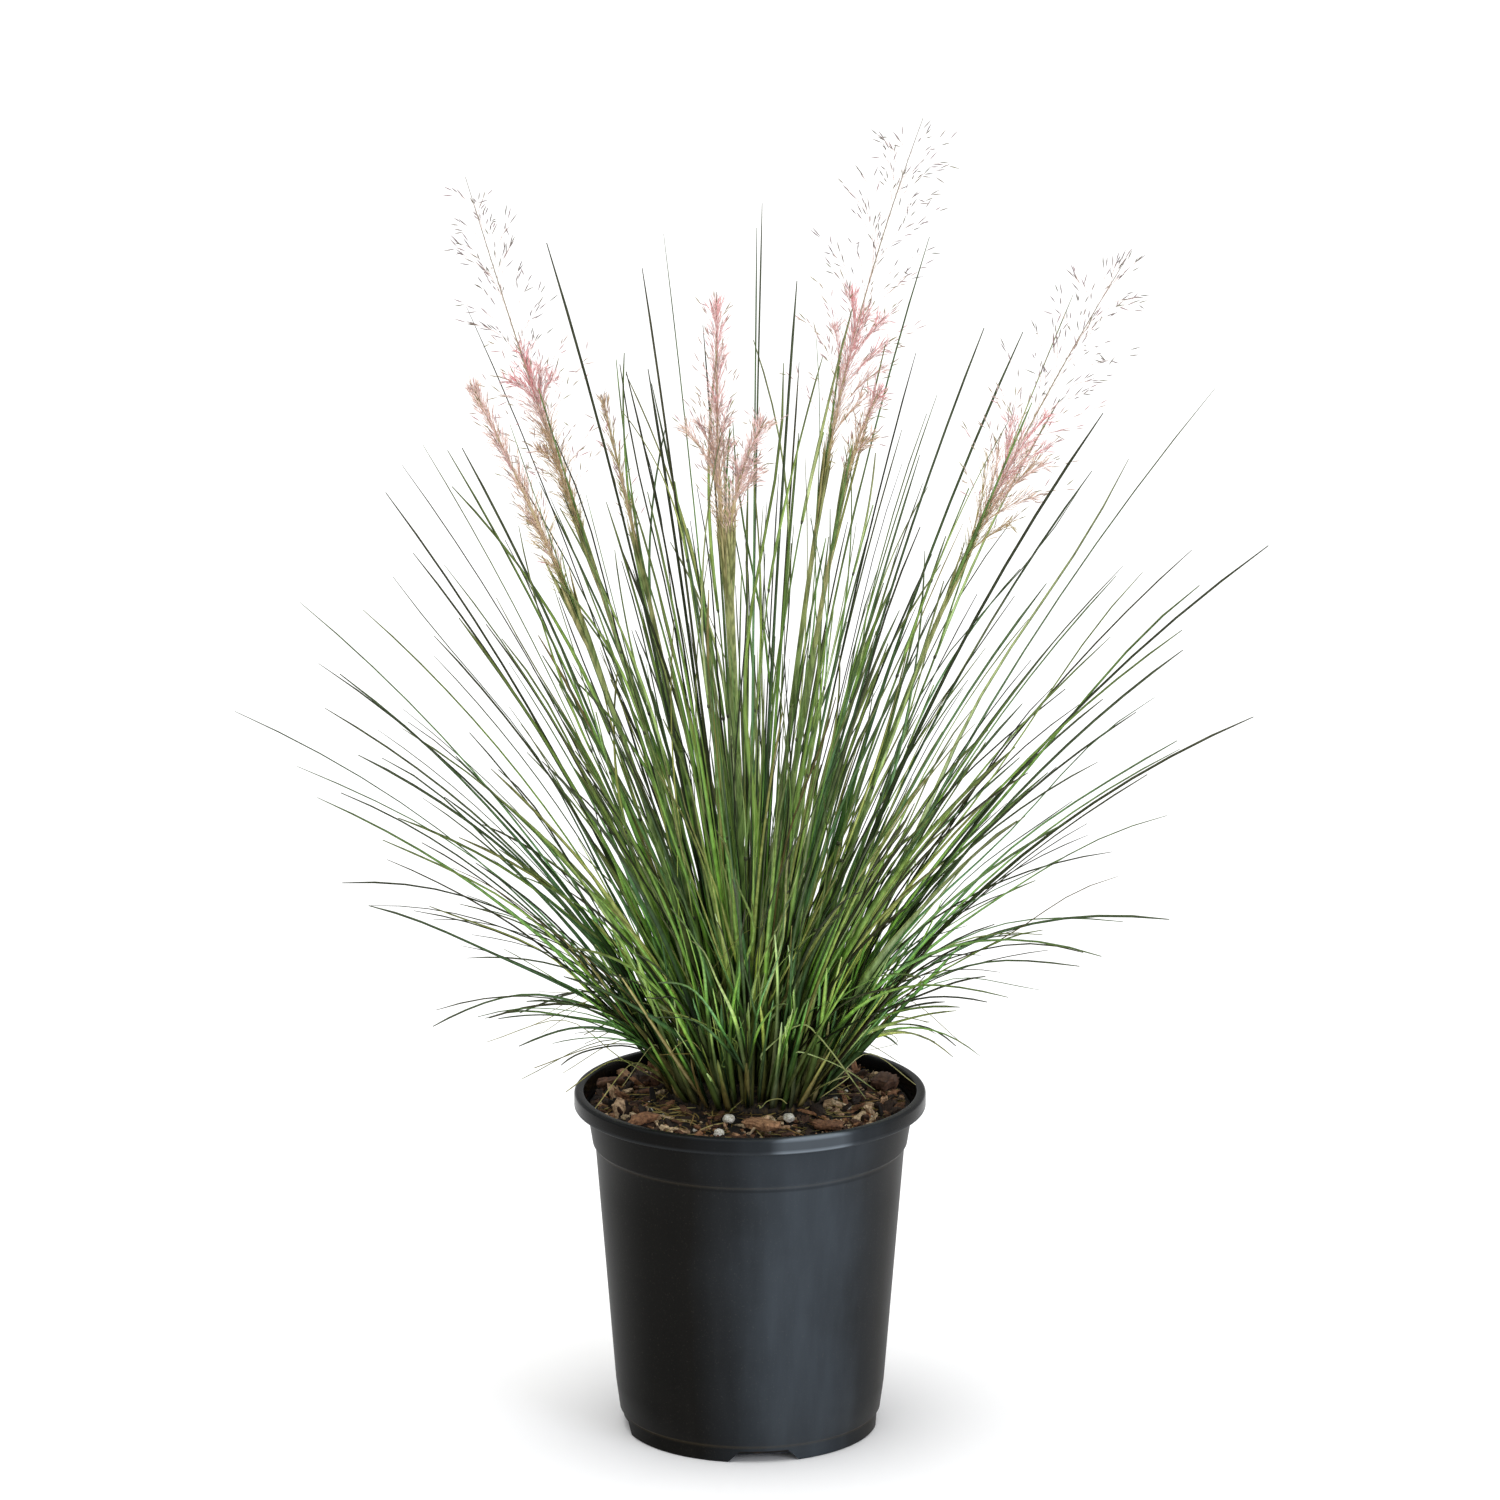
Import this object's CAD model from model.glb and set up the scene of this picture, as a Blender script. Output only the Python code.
# %% [markdown]
# # Potted muhly grass
#
# A muhly grass is a tuft of hundreds of wiry leaves with a pink haze of flowers over it. This
# lesson grows one in its black nursery pot, piece by piece, around a fixed model whose sizes
# the new pieces keep: the pot, the mix and its bark, the crown, the shoots with their leaves,
# the dry leaves, the flower stems and the panicles.
#
# A plant like this could be made with hair particles or a node tree that scatters leaves.
# Here each strand is written as a curve with a reason for its place, because then the leaves
# at the edge of the tuft can be put where the photo shows them.

import math
import random

import bmesh
import bpy
import numpy as np
from mathutils import Matrix, Vector, noise


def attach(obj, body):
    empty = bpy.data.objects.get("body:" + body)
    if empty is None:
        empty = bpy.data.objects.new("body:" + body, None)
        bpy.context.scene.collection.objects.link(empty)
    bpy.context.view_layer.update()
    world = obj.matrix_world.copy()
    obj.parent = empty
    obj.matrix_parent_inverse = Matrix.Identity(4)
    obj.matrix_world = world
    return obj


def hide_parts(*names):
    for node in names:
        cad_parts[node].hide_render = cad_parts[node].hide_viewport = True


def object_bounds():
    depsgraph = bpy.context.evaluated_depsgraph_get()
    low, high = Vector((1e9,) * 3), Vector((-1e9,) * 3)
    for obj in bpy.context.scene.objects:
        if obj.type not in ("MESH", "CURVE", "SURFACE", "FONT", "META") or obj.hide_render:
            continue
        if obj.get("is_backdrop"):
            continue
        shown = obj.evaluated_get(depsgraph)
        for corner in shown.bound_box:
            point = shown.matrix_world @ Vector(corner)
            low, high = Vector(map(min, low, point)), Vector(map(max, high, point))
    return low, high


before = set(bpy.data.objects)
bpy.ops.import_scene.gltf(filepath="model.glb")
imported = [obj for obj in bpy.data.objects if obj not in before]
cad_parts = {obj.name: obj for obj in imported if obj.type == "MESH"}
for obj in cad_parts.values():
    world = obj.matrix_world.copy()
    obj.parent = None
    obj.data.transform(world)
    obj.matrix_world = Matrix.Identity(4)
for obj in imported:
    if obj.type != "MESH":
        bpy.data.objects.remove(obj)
CAD_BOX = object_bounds()
MM = 0.001
GAP = 0.3 * MM  # room between pieces that touch
print(f"the fixed model has {len(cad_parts)} nodes, box {CAD_BOX}")

# %% [markdown]
# ## Camera
#
# The photo was taken from a little above the tuft, with a long lens: both ends of the pot
# show, and the rim is an ellipse whose height gives the camera's pitch. The camera comes
# first, because the leaves at the edge of the tuft are placed by where the photo shows them.

# %% Camera
PHOTO_SIZE = 1500  # pixels, both ways
FOCAL = 7040  # pixels
SENSOR = 36  # mm
CAMERA_DISTANCE = 4.35
CAMERA_PITCH = math.radians(14.0)
AIM = Vector((0, 0, 0.437))

camera_data = bpy.data.cameras.new("camera")
camera_data.sensor_width = SENSOR
camera_data.lens = FOCAL / PHOTO_SIZE * SENSOR
camera = bpy.data.objects.new("camera", camera_data)
bpy.context.scene.collection.objects.link(camera)
bpy.context.scene.camera = camera
CAMERA_TURN = Matrix.Rotation(math.pi / 2 - CAMERA_PITCH, 3, "X")
camera.rotation_euler = CAMERA_TURN.to_euler()
camera.location = AIM + CAMERA_TURN @ Vector((0, 0, CAMERA_DISTANCE))


def seen_at(across, down, depth):
    """The point of the upright plane y = depth that the photo shows at a pixel."""
    half = PHOTO_SIZE / 2
    ray = CAMERA_TURN @ Vector((across - half, half - down, -FOCAL))
    return camera.location + ray * ((depth - camera.location.y) / ray.y)


def seen_on(across, down, height):
    """The point of the level plane z = height that the photo shows at a pixel."""
    half = PHOTO_SIZE / 2
    ray = CAMERA_TURN @ Vector((across - half, half - down, -FOCAL))
    return camera.location + ray * ((height - camera.location.z) / ray.z)


print(f"camera at {camera.location}, lens {camera_data.lens:.1f} mm")

# %% [markdown]
# ## Materials
#
# Colours are picked as sRGB hex values, the way a paint program shows them, and Blender
# shades with linear light, so one function turns them. A second function adds a node with
# its settings and links, which keeps each material as short as a list of what it does.

# %% Colours and nodes


def linear(colour):
    """Linear red, green, blue and alpha of a #rrggbb colour."""
    shares = [int(colour[k : k + 2], 16) / 255 for k in (1, 3, 5)]
    return (*[s / 12.92 if s <= 0.04045 else ((s + 0.055) / 1.055) ** 2.4 for s in shares], 1)


def add_node(material, kind, inputs={}, stops=(), **settings):
    """Adds a node. An input is a value or another node's output, and stops fill a ramp."""
    tree = material.node_tree
    node = tree.nodes.new("ShaderNode" + kind)
    for name, value in settings.items():
        setattr(node, name, value)
    for name, value in inputs.items():
        if isinstance(value, bpy.types.NodeSocket):
            tree.links.new(value, node.inputs[name])
        else:
            node.inputs[name].default_value = value
    for k, (place, colour) in enumerate(stops):
        elements = node.color_ramp.elements
        stop = elements[k] if k < 2 else elements.new(place)
        stop.position = place
        stop.color = linear(colour)
    return node


def new_material(name, colour, roughness):
    """A material with a plain Principled shader, and that shader."""
    material = bpy.data.materials.new(name)
    material.use_nodes = True
    shader = material.node_tree.nodes["Principled BSDF"]
    shader.inputs["Base Color"].default_value = linear(colour)
    shader.inputs["Roughness"].default_value = roughness
    material.diffuse_color = linear(colour)
    return material, shader


def connect(material, output, shader, socket):
    material.node_tree.links.new(output, shader.inputs[socket])


def blended(material, share, first, second, way="MIX"):
    """The output of a colour mix, where a colour may be a hex value."""
    first, second = (linear(c) if isinstance(c, str) else c for c in (first, second))
    mix = add_node(material, "Mix", {0: share, 6: first, 7: second}, data_type="RGBA",
                   blend_type=way)
    return mix.outputs[2]


def bumped(material, shader, height, distance):
    """Lets a height pattern tilt the surface, with a relief of this distance."""
    bump = add_node(material, "Bump", {"Height": height, "Distance": distance})
    connect(material, bump.outputs[0], shader, "Normal")


# %% [markdown]
# ## Stage
#
# The photo is a cut-out look: pure white all over, with a faint shadow round the pot. A pale
# floor that reaches far behind the plant fills the whole view from this height, so no
# backdrop is needed. A lamp lights a near floor more than a far one, so the floor gets its
# white from a sun, which is as bright everywhere. The sun is very wide, which keeps its
# shadows soft, the world adds a little light from all round, and two soft boxes at the right
# give the pot its sheen and the leaves their lit edges.

# %% Floor and light
WORLD_STRENGTH = 0.6
SUN_STRENGTH = 2.25
SUN_WIDTH = math.radians(50)
FLOOR_REACH = 40

world = bpy.data.worlds.new("studio")
world.use_nodes = True
background = world.node_tree.nodes["Background"]
background.inputs["Color"].default_value = (1, 1, 1, 1)
background.inputs["Strength"].default_value = WORLD_STRENGTH
bpy.context.scene.world = world
bpy.context.scene.view_settings.view_transform = "Standard"

floor_mesh = bmesh.new()
bmesh.ops.create_grid(floor_mesh, x_segments=1, y_segments=1, size=FLOOR_REACH)
floor = bpy.data.objects.new("floor", bpy.data.meshes.new("floor"))
floor_mesh.to_mesh(floor.data)
floor_mesh.free()
bpy.context.scene.collection.objects.link(floor)
floor.data.materials.append(new_material("white studio floor", "#fcfcfc", 0.9)[0])
floor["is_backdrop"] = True


def add_lamp(name, kind, place, colour="#ffffff", **settings):
    """A lamp that faces the middle of the plant."""
    lamp = bpy.data.lights.new(name, kind)
    lamp.color = linear(colour)[:3]
    for setting, value in settings.items():
        setattr(lamp, setting, value)
    holder = bpy.data.objects.new(name, lamp)
    holder.location = place
    holder.rotation_euler = (AIM - Vector(place)).to_track_quat("-Z", "Y").to_euler()
    bpy.context.scene.collection.objects.link(holder)


add_lamp("sun", "SUN", (-0.08, -0.15, 3.0), energy=SUN_STRENGTH, angle=SUN_WIDTH)
add_lamp("soft box", "AREA", (1.9, -2.0, 1.0), "#eef3ff", energy=22, size=1.2)
add_lamp("rim box", "AREA", (2.3, 0.9, 0.7), "#fff4e0", energy=2, size=0.9)
print("floor and lamps are in place")

# %% [markdown]
# ## Finishing a piece
#
# Every piece rides on the pot, stands for the pieces of the fixed model that it replaces, and
# names the finish that it takes. One function says all of that, so no piece is forgotten.

# %% Finish a piece


def finish_piece(obj, replaced=()):
    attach(obj, "root")
    if replaced:
        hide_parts(*replaced)
    obj.data.calc_loop_triangles()
    print(f"{obj.name}: {len(obj.data.loop_triangles)} triangles")


def add_mesh_object(name, mesh, material, smooth=True):
    mesh.materials.append(material)
    mesh.polygons.foreach_set("use_smooth", [smooth] * len(mesh.polygons))
    obj = bpy.data.objects.new(name, mesh)
    bpy.context.scene.collection.objects.link(obj)
    return obj


def from_bmesh(name, bm, material, smooth=True):
    mesh = bpy.data.meshes.new(name)
    bm.to_mesh(mesh)
    bm.free()
    return add_mesh_object(name, mesh, material, smooth)


# %% [markdown]
# ## Pot
#
# A nursery pot is injection moulded in black polypropylene, with a rolled lip, a neck, a
# tapered wall and a foot ring that is notched so that water drains. It could be a scaled
# cylinder, but its outline has a dozen small steps, so an outline is drawn from the inside
# floor over the lip to the underside and spun round the axis. The notches and drain holes
# are cut afterwards, as the tool that makes the real ones does.

# %% Pot sizes
RIM_R = 110 * MM
POT_HEIGHT = 219 * MM
LIP_HEIGHT = 10.3 * MM
LIP_WIDTH = 6 * MM
NECK_TOP_R = 102 * MM
NECK_FOOT_R = 98.6 * MM
NECK_FOOT_Z = 185 * MM
WALL_TOP_R = 96.8 * MM
WALL_LOW_R = 84.6 * MM
WALL_LOW_Z = 30 * MM
WALL_FOOT_R = 82.2 * MM
FOOT_RING_R = 80.2 * MM
FOOT_RING_HEIGHT = 10 * MM
FOOT_RING_WIDTH = 3.5 * MM
FOOT_RECESS = 3.5 * MM
WALL = 1.5 * MM
EDGE_CUT = 1.2 * MM
NECK_STEP = 1.6 * MM
FOOT_STEP = 2 * MM
NOTCH_COUNT = 4
NOTCH_FIRST = math.radians(6.3 - 90)  # the front notch is a little to the right
NOTCH_FOOT_WIDTH = 45 * MM
NOTCH_TOP_WIDTH = 30 * MM
NOTCH_HEIGHT = 7.4 * MM
NOTCH_DEPTH = 7 * MM
DRAIN_HOLE_R = 7 * MM
DRAIN_CIRCLE_R = 45 * MM
POT_STEPS = 160


def arc(centre_r, centre_z, radius, first, last, count=5):
    """Outline points on an arc, whose angles in degrees go round from the outward side."""
    angles = [math.radians(first + (last - first) * k / (count - 1)) for k in range(count)]
    return [(centre_r + radius * math.cos(a), centre_z + radius * math.sin(a)) for a in angles]


INNER_WALL = [
    (RIM_R - LIP_WIDTH, POT_HEIGHT - EDGE_CUT),
    (NECK_TOP_R - WALL, POT_HEIGHT - LIP_HEIGHT - WALL),
    (NECK_FOOT_R - WALL, NECK_FOOT_Z + WALL),
    (WALL_TOP_R - WALL, NECK_FOOT_Z - NECK_STEP - WALL),
    (WALL_LOW_R - WALL, WALL_LOW_Z),
    (FOOT_RING_R - WALL, FOOT_RING_HEIGHT + EDGE_CUT),
    (FOOT_RING_R - WALL - EDGE_CUT, FOOT_RECESS + WALL),
]


def inner_radius(height):
    """The radius of the pot's inner wall at a height."""
    heights = [z for _, z in INNER_WALL[::-1]]
    return float(np.interp(height, heights, [r for r, _ in INNER_WALL[::-1]]))


# %% [markdown]
# ### Polypropylene
#
# Moulded polypropylene is satin: its skin has a fine grain from the mould that spreads the
# reflections, and flow marks run up the wall. A thin bluish film of dust and dried water lies
# on the side that faced the weather, so the pot is nearly black on its left and grey on its
# right. Handling has burnished both edges of the lip, which glint where they face the soft
# box. A thread of dust lies in the steps under the neck and over the foot ring, with a dark
# groove under the upper one, and more dust sits round the foot.

# %% Pot material
SHEEN_SIDE = (0.337, -0.834, 0)  # to the front right, 22 degrees from the front
GLINT_SIDE = (3.26, -8.49, 0)  # where the lip catches the soft box

pot_plastic, shader = new_material("moulded black polypropylene", "#17181a", 0.4)
shader.inputs["IOR"].default_value = 1.49
shader.inputs["Specular IOR Level"].default_value = 0.06
place = add_node(pot_plastic, "TexCoord").outputs["Object"]
heights = add_node(pot_plastic, "SeparateXYZ", {0: place}).outputs["Z"]
stretched = add_node(pot_plastic, "Mapping", {"Vector": place, "Scale": (1, 1, 0.12)})
streaks = add_node(pot_plastic, "TexNoise", {"Vector": stretched.outputs[0], "Scale": 60,
                                             "Detail": 4, "Roughness": 0.6})
clouds = add_node(pot_plastic, "TexNoise", {"Vector": place, "Scale": 16, "Detail": 3})
specks = add_node(pot_plastic, "TexNoise", {"Vector": place, "Scale": 900, "Detail": 2})
flat = add_node(pot_plastic, "VectorMath", {0: place, 1: (1, 1, 0)}, operation="MULTIPLY")
outward = add_node(pot_plastic, "VectorMath", {0: flat.outputs[0]}, operation="NORMALIZE")
side = add_node(pot_plastic, "VectorMath", {0: outward.outputs[0], 1: SHEEN_SIDE},
                operation="DOT_PRODUCT").outputs["Value"]
uneven = add_node(pot_plastic, "Math", {0: clouds.outputs[0], 1: 0.15, 2: side},
                  operation="MULTIPLY_ADD")
film = add_node(pot_plastic, "ValToRGB", {0: uneven.outputs[0]},
                stops=[(0.44, "#070603"), (0.7, "#141311"), (0.86, "#272a2d"),
                       (0.97, "#3c4248")])
flow = add_node(pot_plastic, "ValToRGB", {0: streaks.outputs[0]},
                stops=[(0.3, "#c4c4c4"), (0.7, "#ffffff")])
skin = blended(pot_plastic, 0.6, film.outputs[0], flow.outputs[0], "MULTIPLY")
low = add_node(pot_plastic, "MapRange", {"Value": heights, "From Min": 0.0, "From Max": 0.05,
                                         "To Min": 0.1, "To Max": 0.0})
cloud_dust = add_node(pot_plastic, "MapRange", {"Value": clouds.outputs[0], "From Min": 0.45,
                                                "From Max": 0.75, "To Max": 0.5})
speck_dust = add_node(pot_plastic, "MapRange", {"Value": specks.outputs[0], "From Min": 0.62,
                                                "From Max": 0.72, "To Max": 0.06})
dust = add_node(pot_plastic, "Math", {0: low.outputs[0], 1: cloud_dust.outputs[0],
                                      2: speck_dust.outputs[0]}, operation="MULTIPLY_ADD")
skin = blended(pot_plastic, dust.outputs[0], skin, "#7d766a")
lip = add_node(pot_plastic, "MapRange", {"Value": heights, "From Min": POT_HEIGHT - LIP_HEIGHT,
                                         "From Max": POT_HEIGHT})
burnish = add_node(pot_plastic, "ValToRGB", {0: lip.outputs[0]},
                   stops=[(0.02, "#000000"), (0.1, "#8a8a8a"), (0.24, "#000000"),
                          (0.8, "#000000"), (0.93, "#6a6a6a"), (1.0, "#585858")])
upper = add_node(pot_plastic, "MapRange", {"Value": lip.outputs[0], "From Max": 0.05,
                                           "To Max": 0.4})
skin = blended(pot_plastic, upper.outputs[0], skin, "#050505")
skin = blended(pot_plastic, burnish.outputs[0], skin, "#4d5256")
facing = add_node(pot_plastic, "VectorMath", {0: place, 1: GLINT_SIDE},
                  operation="DOT_PRODUCT").outputs["Value"]
glint = add_node(pot_plastic, "ValToRGB", {0: facing},
                 stops=[(0.95, "#000000"), (0.968, "#4a4a4a"), (0.985, "#cccccc")])
edges = add_node(pot_plastic, "ValToRGB", {0: lip.outputs[0]},
                 stops=[(0.03, "#000000"), (0.12, "#ffffff"), (0.3, "#969696"),
                        (0.75, "#969696"), (0.93, "#ffffff")])
glint = blended(pot_plastic, 1.0, glint.outputs[0], edges.outputs[0], "MULTIPLY")
skin = blended(pot_plastic, glint, skin, "#98a3ad")
level = add_node(pot_plastic, "MapRange", {"Value": heights, "From Max": POT_HEIGHT})
thread = add_node(pot_plastic, "ValToRGB", {0: level.outputs[0]},
                  stops=[(0.04, "#000000"), (0.0465, "#606060"), (0.053, "#000000"),
                         (0.834, "#000000"), (0.839, "#484848"), (0.844, "#000000")])
skin = blended(pot_plastic, thread.outputs[0], skin, "#8c7c5e")
groove = add_node(pot_plastic, "ValToRGB", {0: level.outputs[0]},
                  stops=[(0.824, "#000000"), (0.83, "#b8b8b8"), (0.836, "#000000"),
                         (0.842, "#000000"), (0.85, "#6a6a6a"), (1.0, "#6a6a6a")])
skin = blended(pot_plastic, groove.outputs[0], skin, "#060606")
connect(pot_plastic, skin, shader, "Base Color")
gloss = add_node(pot_plastic, "MapRange", {"Value": lip.outputs[0], "From Max": 0.3,
                                           "To Min": 0.42, "To Max": 0.26})
connect(pot_plastic, gloss.outputs[0], shader, "Roughness")
bumped(pot_plastic, shader, specks.outputs[0], 0.03 * MM)
print("pot material is ready")

# %% Pot


def pot_outline():
    floor_top = FOOT_RECESS + WALL
    lip_foot = POT_HEIGHT - LIP_HEIGHT
    inside = [(0, floor_top)] + INNER_WALL[::-1]
    lip = arc(RIM_R - LIP_WIDTH + EDGE_CUT, POT_HEIGHT - EDGE_CUT, EDGE_CUT, 180, 90)[1:]
    lip += arc(RIM_R - 2.2 * MM, POT_HEIGHT - 2.2 * MM, 2.2 * MM, 90, 0, 7)
    lip += arc(RIM_R - EDGE_CUT, lip_foot + EDGE_CUT, EDGE_CUT, 0, -90)
    neck = arc(NECK_TOP_R + EDGE_CUT, lip_foot - EDGE_CUT, EDGE_CUT, 90, 180)
    neck += arc(NECK_FOOT_R - EDGE_CUT, NECK_FOOT_Z + EDGE_CUT, EDGE_CUT, 0, -60, 4)
    side = [(WALL_TOP_R + 0.2 * MM, NECK_FOOT_Z - 0.7 * NECK_STEP),
            (WALL_TOP_R, NECK_FOOT_Z - NECK_STEP)]
    side += [(WALL_TOP_R + (WALL_LOW_R - WALL_TOP_R) * k / 6,
              NECK_FOOT_Z - NECK_STEP + (WALL_LOW_Z - NECK_FOOT_Z + NECK_STEP) * k / 6)
             for k in range(1, 7)]
    side += [(WALL_FOOT_R, FOOT_RING_HEIGHT + FOOT_STEP), (FOOT_RING_R, FOOT_RING_HEIGHT)]
    side += arc(FOOT_RING_R - EDGE_CUT, EDGE_CUT, EDGE_CUT, 0, -90)
    under = [(FOOT_RING_R - FOOT_RING_WIDTH, 0),
             (FOOT_RING_R - FOOT_RING_WIDTH - EDGE_CUT / 2, FOOT_RECESS), (0, FOOT_RECESS)]
    return inside + lip + neck + side + under


def spun(outline, steps):
    """A closed bmesh spun round the axis from (radius, height) points."""
    bm = bmesh.new()
    verts = [bm.verts.new((r, 0, z)) for r, z in outline]
    edges = [bm.edges.new(pair) for pair in zip(verts, verts[1:])]
    bmesh.ops.spin(bm, geom=verts + edges, cent=(0, 0, 0), axis=(0, 0, 1),
                   angle=math.tau, steps=steps, use_merge=True)
    bmesh.ops.remove_doubles(bm, verts=bm.verts, dist=0.001 * MM)
    bmesh.ops.recalc_face_normals(bm, faces=bm.faces)
    return bm


def cut_with(obj, bm):
    """Cuts a bmesh out of an object's mesh."""
    cutter = from_bmesh("cutter", bm, pot_plastic, smooth=False)
    boolean = obj.modifiers.new("cut", "BOOLEAN")
    boolean.operation = "DIFFERENCE"
    boolean.object = cutter
    bpy.context.view_layer.update()
    graph = bpy.context.evaluated_depsgraph_get()
    mesh = bpy.data.meshes.new_from_object(obj.evaluated_get(graph), depsgraph=graph)
    obj.modifiers.clear()
    obj.data = mesh
    bpy.data.objects.remove(cutter)


def notch_block(angle):
    bm = bmesh.new()
    bmesh.ops.create_cube(bm, size=1)
    below = 1 * MM
    flare = (NOTCH_FOOT_WIDTH - NOTCH_TOP_WIDTH) / NOTCH_HEIGHT
    for vert in bm.verts:
        top = vert.co.z > 0
        vert.co.x *= 2 * NOTCH_DEPTH
        vert.co.y *= NOTCH_TOP_WIDTH if top else NOTCH_FOOT_WIDTH + flare * below
        vert.co.z = NOTCH_HEIGHT if top else -below
    bmesh.ops.translate(bm, vec=(FOOT_RING_R, 0, 0), verts=bm.verts)
    bmesh.ops.rotate(bm, matrix=Matrix.Rotation(angle, 3, "Z"), verts=bm.verts)
    return bm


def drain_rod(angle, radius):
    bm = bmesh.new()
    bmesh.ops.create_cone(bm, cap_ends=True, segments=24, radius1=DRAIN_HOLE_R,
                          radius2=DRAIN_HOLE_R, depth=4 * FOOT_RECESS)
    way = Vector((math.cos(angle), math.sin(angle), 0))
    bmesh.ops.translate(bm, vec=way * radius, verts=bm.verts)
    return bm


pot = from_bmesh("nursery_pot", spun(pot_outline(), POT_STEPS), pot_plastic)
for k in range(NOTCH_COUNT):
    cut_with(pot, notch_block(NOTCH_FIRST + math.tau * k / NOTCH_COUNT))
    cut_with(pot, drain_rod(NOTCH_FIRST + math.tau * (k + 0.5) / NOTCH_COUNT, DRAIN_CIRCLE_R))
cut_with(pot, drain_rod(0, 0))
pot.data.set_sharp_from_angle(angle=math.radians(38))
finish_piece(pot, ["pot"])

# %% [markdown]
# ## Strands
#
# Leaves, stems, hairs and straws are all strands: a line with a width and the shape of a cut
# across it. Making each one as a curve object would be slow and heavy, so a bundle collects
# their points and faces as arrays and becomes one mesh. A grass leaf is cut as a shallow V
# with a keel, a stem as an eight-sided ring and a hair as a triangle.
#
# Each point also carries four marks that the materials read: how far along the strand it is,
# the strand's own tone, how dry it is, and how far across the leaf it lies.

# %% Bundles of strands
LEAF_CUT = np.array([(0.5, 0.2), (0.0, 0.1), (-0.5, 0.2), (0.0, -0.2)])
STEM_CUT = np.array([(math.cos(a), math.sin(a)) for a in np.arange(8) * math.tau / 8]) / 2
HAIR_CUT = np.array([(math.cos(a), math.sin(a)) for a in np.arange(3) * math.tau / 3]) / 2


def tube_faces(rings, sides):
    """Faces of a closed tube whose points go round ring after ring."""
    faces = [tuple(range(sides))[::-1]]
    for ring in range(rings - 1):
        low, high = ring * sides, (ring + 1) * sides
        for k in range(sides):
            n = (k + 1) % sides
            faces.append((low + k, low + n, high + n, high + k))
    faces.append(tuple(range((rings - 1) * sides, rings * sides)))
    return faces


class Bundle:
    """Many strands and small bodies that become one mesh."""

    def __init__(self):
        self.points, self.faces, self.marks = [], [], []
        self.used = 0

    def add(self, points, faces, marks):
        self.points.append(points)
        self.marks.append(marks)
        self.faces += [tuple(self.used + k for k in face) for face in faces]
        self.used += len(points)

    def strand(self, line, widths, cut, tone=0.5, dry=0.0, face=None, roll=0.0, along=(0, 1)):
        """A tube along a line. face is the way that a leaf's upper side looks, and roll
        turns it further, in radians, from one end to the other."""
        rings, sides = len(line), len(cut)
        way = np.gradient(line, axis=0)
        way /= np.linalg.norm(way, axis=1)[:, None]
        if face is None:
            face = (0.31, -0.87, 0.38)
        side = np.cross(face, way)
        side /= np.linalg.norm(side, axis=1)[:, None] + 1e-9
        up = np.cross(way, side)
        turn = np.broadcast_to(roll, rings)[:, None]
        side, up = (np.cos(turn) * side + np.sin(turn) * up,
                    np.cos(turn) * up - np.sin(turn) * side)
        wide = np.asarray(widths)[:, None, None]
        ring = cut[None, :, :1] * side[:, None] + cut[None, :, 1:] * up[:, None]
        points = line[:, None] + wide * ring
        marks = np.empty((rings, sides, 4))
        marks[..., 0] = np.linspace(along[0], along[1], rings)[:, None]
        marks[..., 1] = np.reshape(tone, (-1, 1))
        marks[..., 2] = np.reshape(dry, (-1, 1))
        marks[..., 3] = cut[:, 0] + 0.5
        self.add(points.reshape(-1, 3), tube_faces(rings, sides), marks.reshape(-1, 4))

    def build(self, name, material, smooth=True):
        mesh = bpy.data.meshes.new(name)
        mesh.from_pydata(np.concatenate(self.points).tolist(), [], self.faces)
        marks = mesh.color_attributes.new("marks", "FLOAT_COLOR", "POINT")
        marks.data.foreach_set("color", np.concatenate(self.marks).ravel())
        return add_mesh_object(name, mesh, material, smooth)


# %% [markdown]
# ## Where shoots stand
#
# The crown of a tuft is a low dome, and every shoot leaves it square to its surface. That is
# why a tuft opens like a brush and its stems don't cross at the foot. A shoot's line is a
# curve with three points: the foot on the dome, a pull point that it sets off towards, and
# the tip. Its arch says how high the pull point stands over the straight line to the tip.

# %% Crown and shoot lines
CROWN_TOP_Z = 236 * MM
CROWN_FLOOR_Z = 200 * MM
DOME_R = 96 * MM
SHOULDER_R = 8 * MM
SHOULDER_LEAN = math.radians(29)
UP = np.array((0.0, 0.0, 1.0))
GOLDEN_TURN = math.pi * (3 - math.sqrt(5))  # turns that never line up, as leaves grow


def unit(vector):
    return vector / np.linalg.norm(vector)


def crown_point(lean, azimuth=0.0):
    """A point on the dome whose outward way has this lean, and that way."""
    radial = np.array((math.cos(azimuth), math.sin(azimuth), 0.0))
    outward = math.sin(lean) * radial + math.cos(lean) * UP
    held = min(lean, SHOULDER_LEAN)
    core = (math.sin(held) * radial + math.cos(held) * UP) * (DOME_R - SHOULDER_R)
    core[2] += CROWN_TOP_Z - DOME_R
    return core + SHOULDER_R * outward, outward


def route_from_crown(tip, arch):
    """Start, pull point and end of a shoot's line, in a plane through the axis."""
    tip = np.array(tip, float)
    azimuth = math.atan2(tip[1], tip[0])
    radial = np.array((math.cos(azimuth), math.sin(azimuth), 0.0))
    lean = math.atan2(math.hypot(tip[0], tip[1]), tip[2] - CROWN_TOP_Z)
    for _ in range(30):
        foot, outward = crown_point(lean, azimuth)
        chord = tip - foot
        over = chord.dot(radial) * UP - chord[2] * radial
        pull = foot + chord / 2 + over * arch
        first = pull - foot
        lean = 0.5 * (lean + math.atan2(max(first.dot(radial), 0), first[2]))
    start = foot + outward * GAP
    return start, start + outward * np.linalg.norm(pull - start), tip


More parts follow.
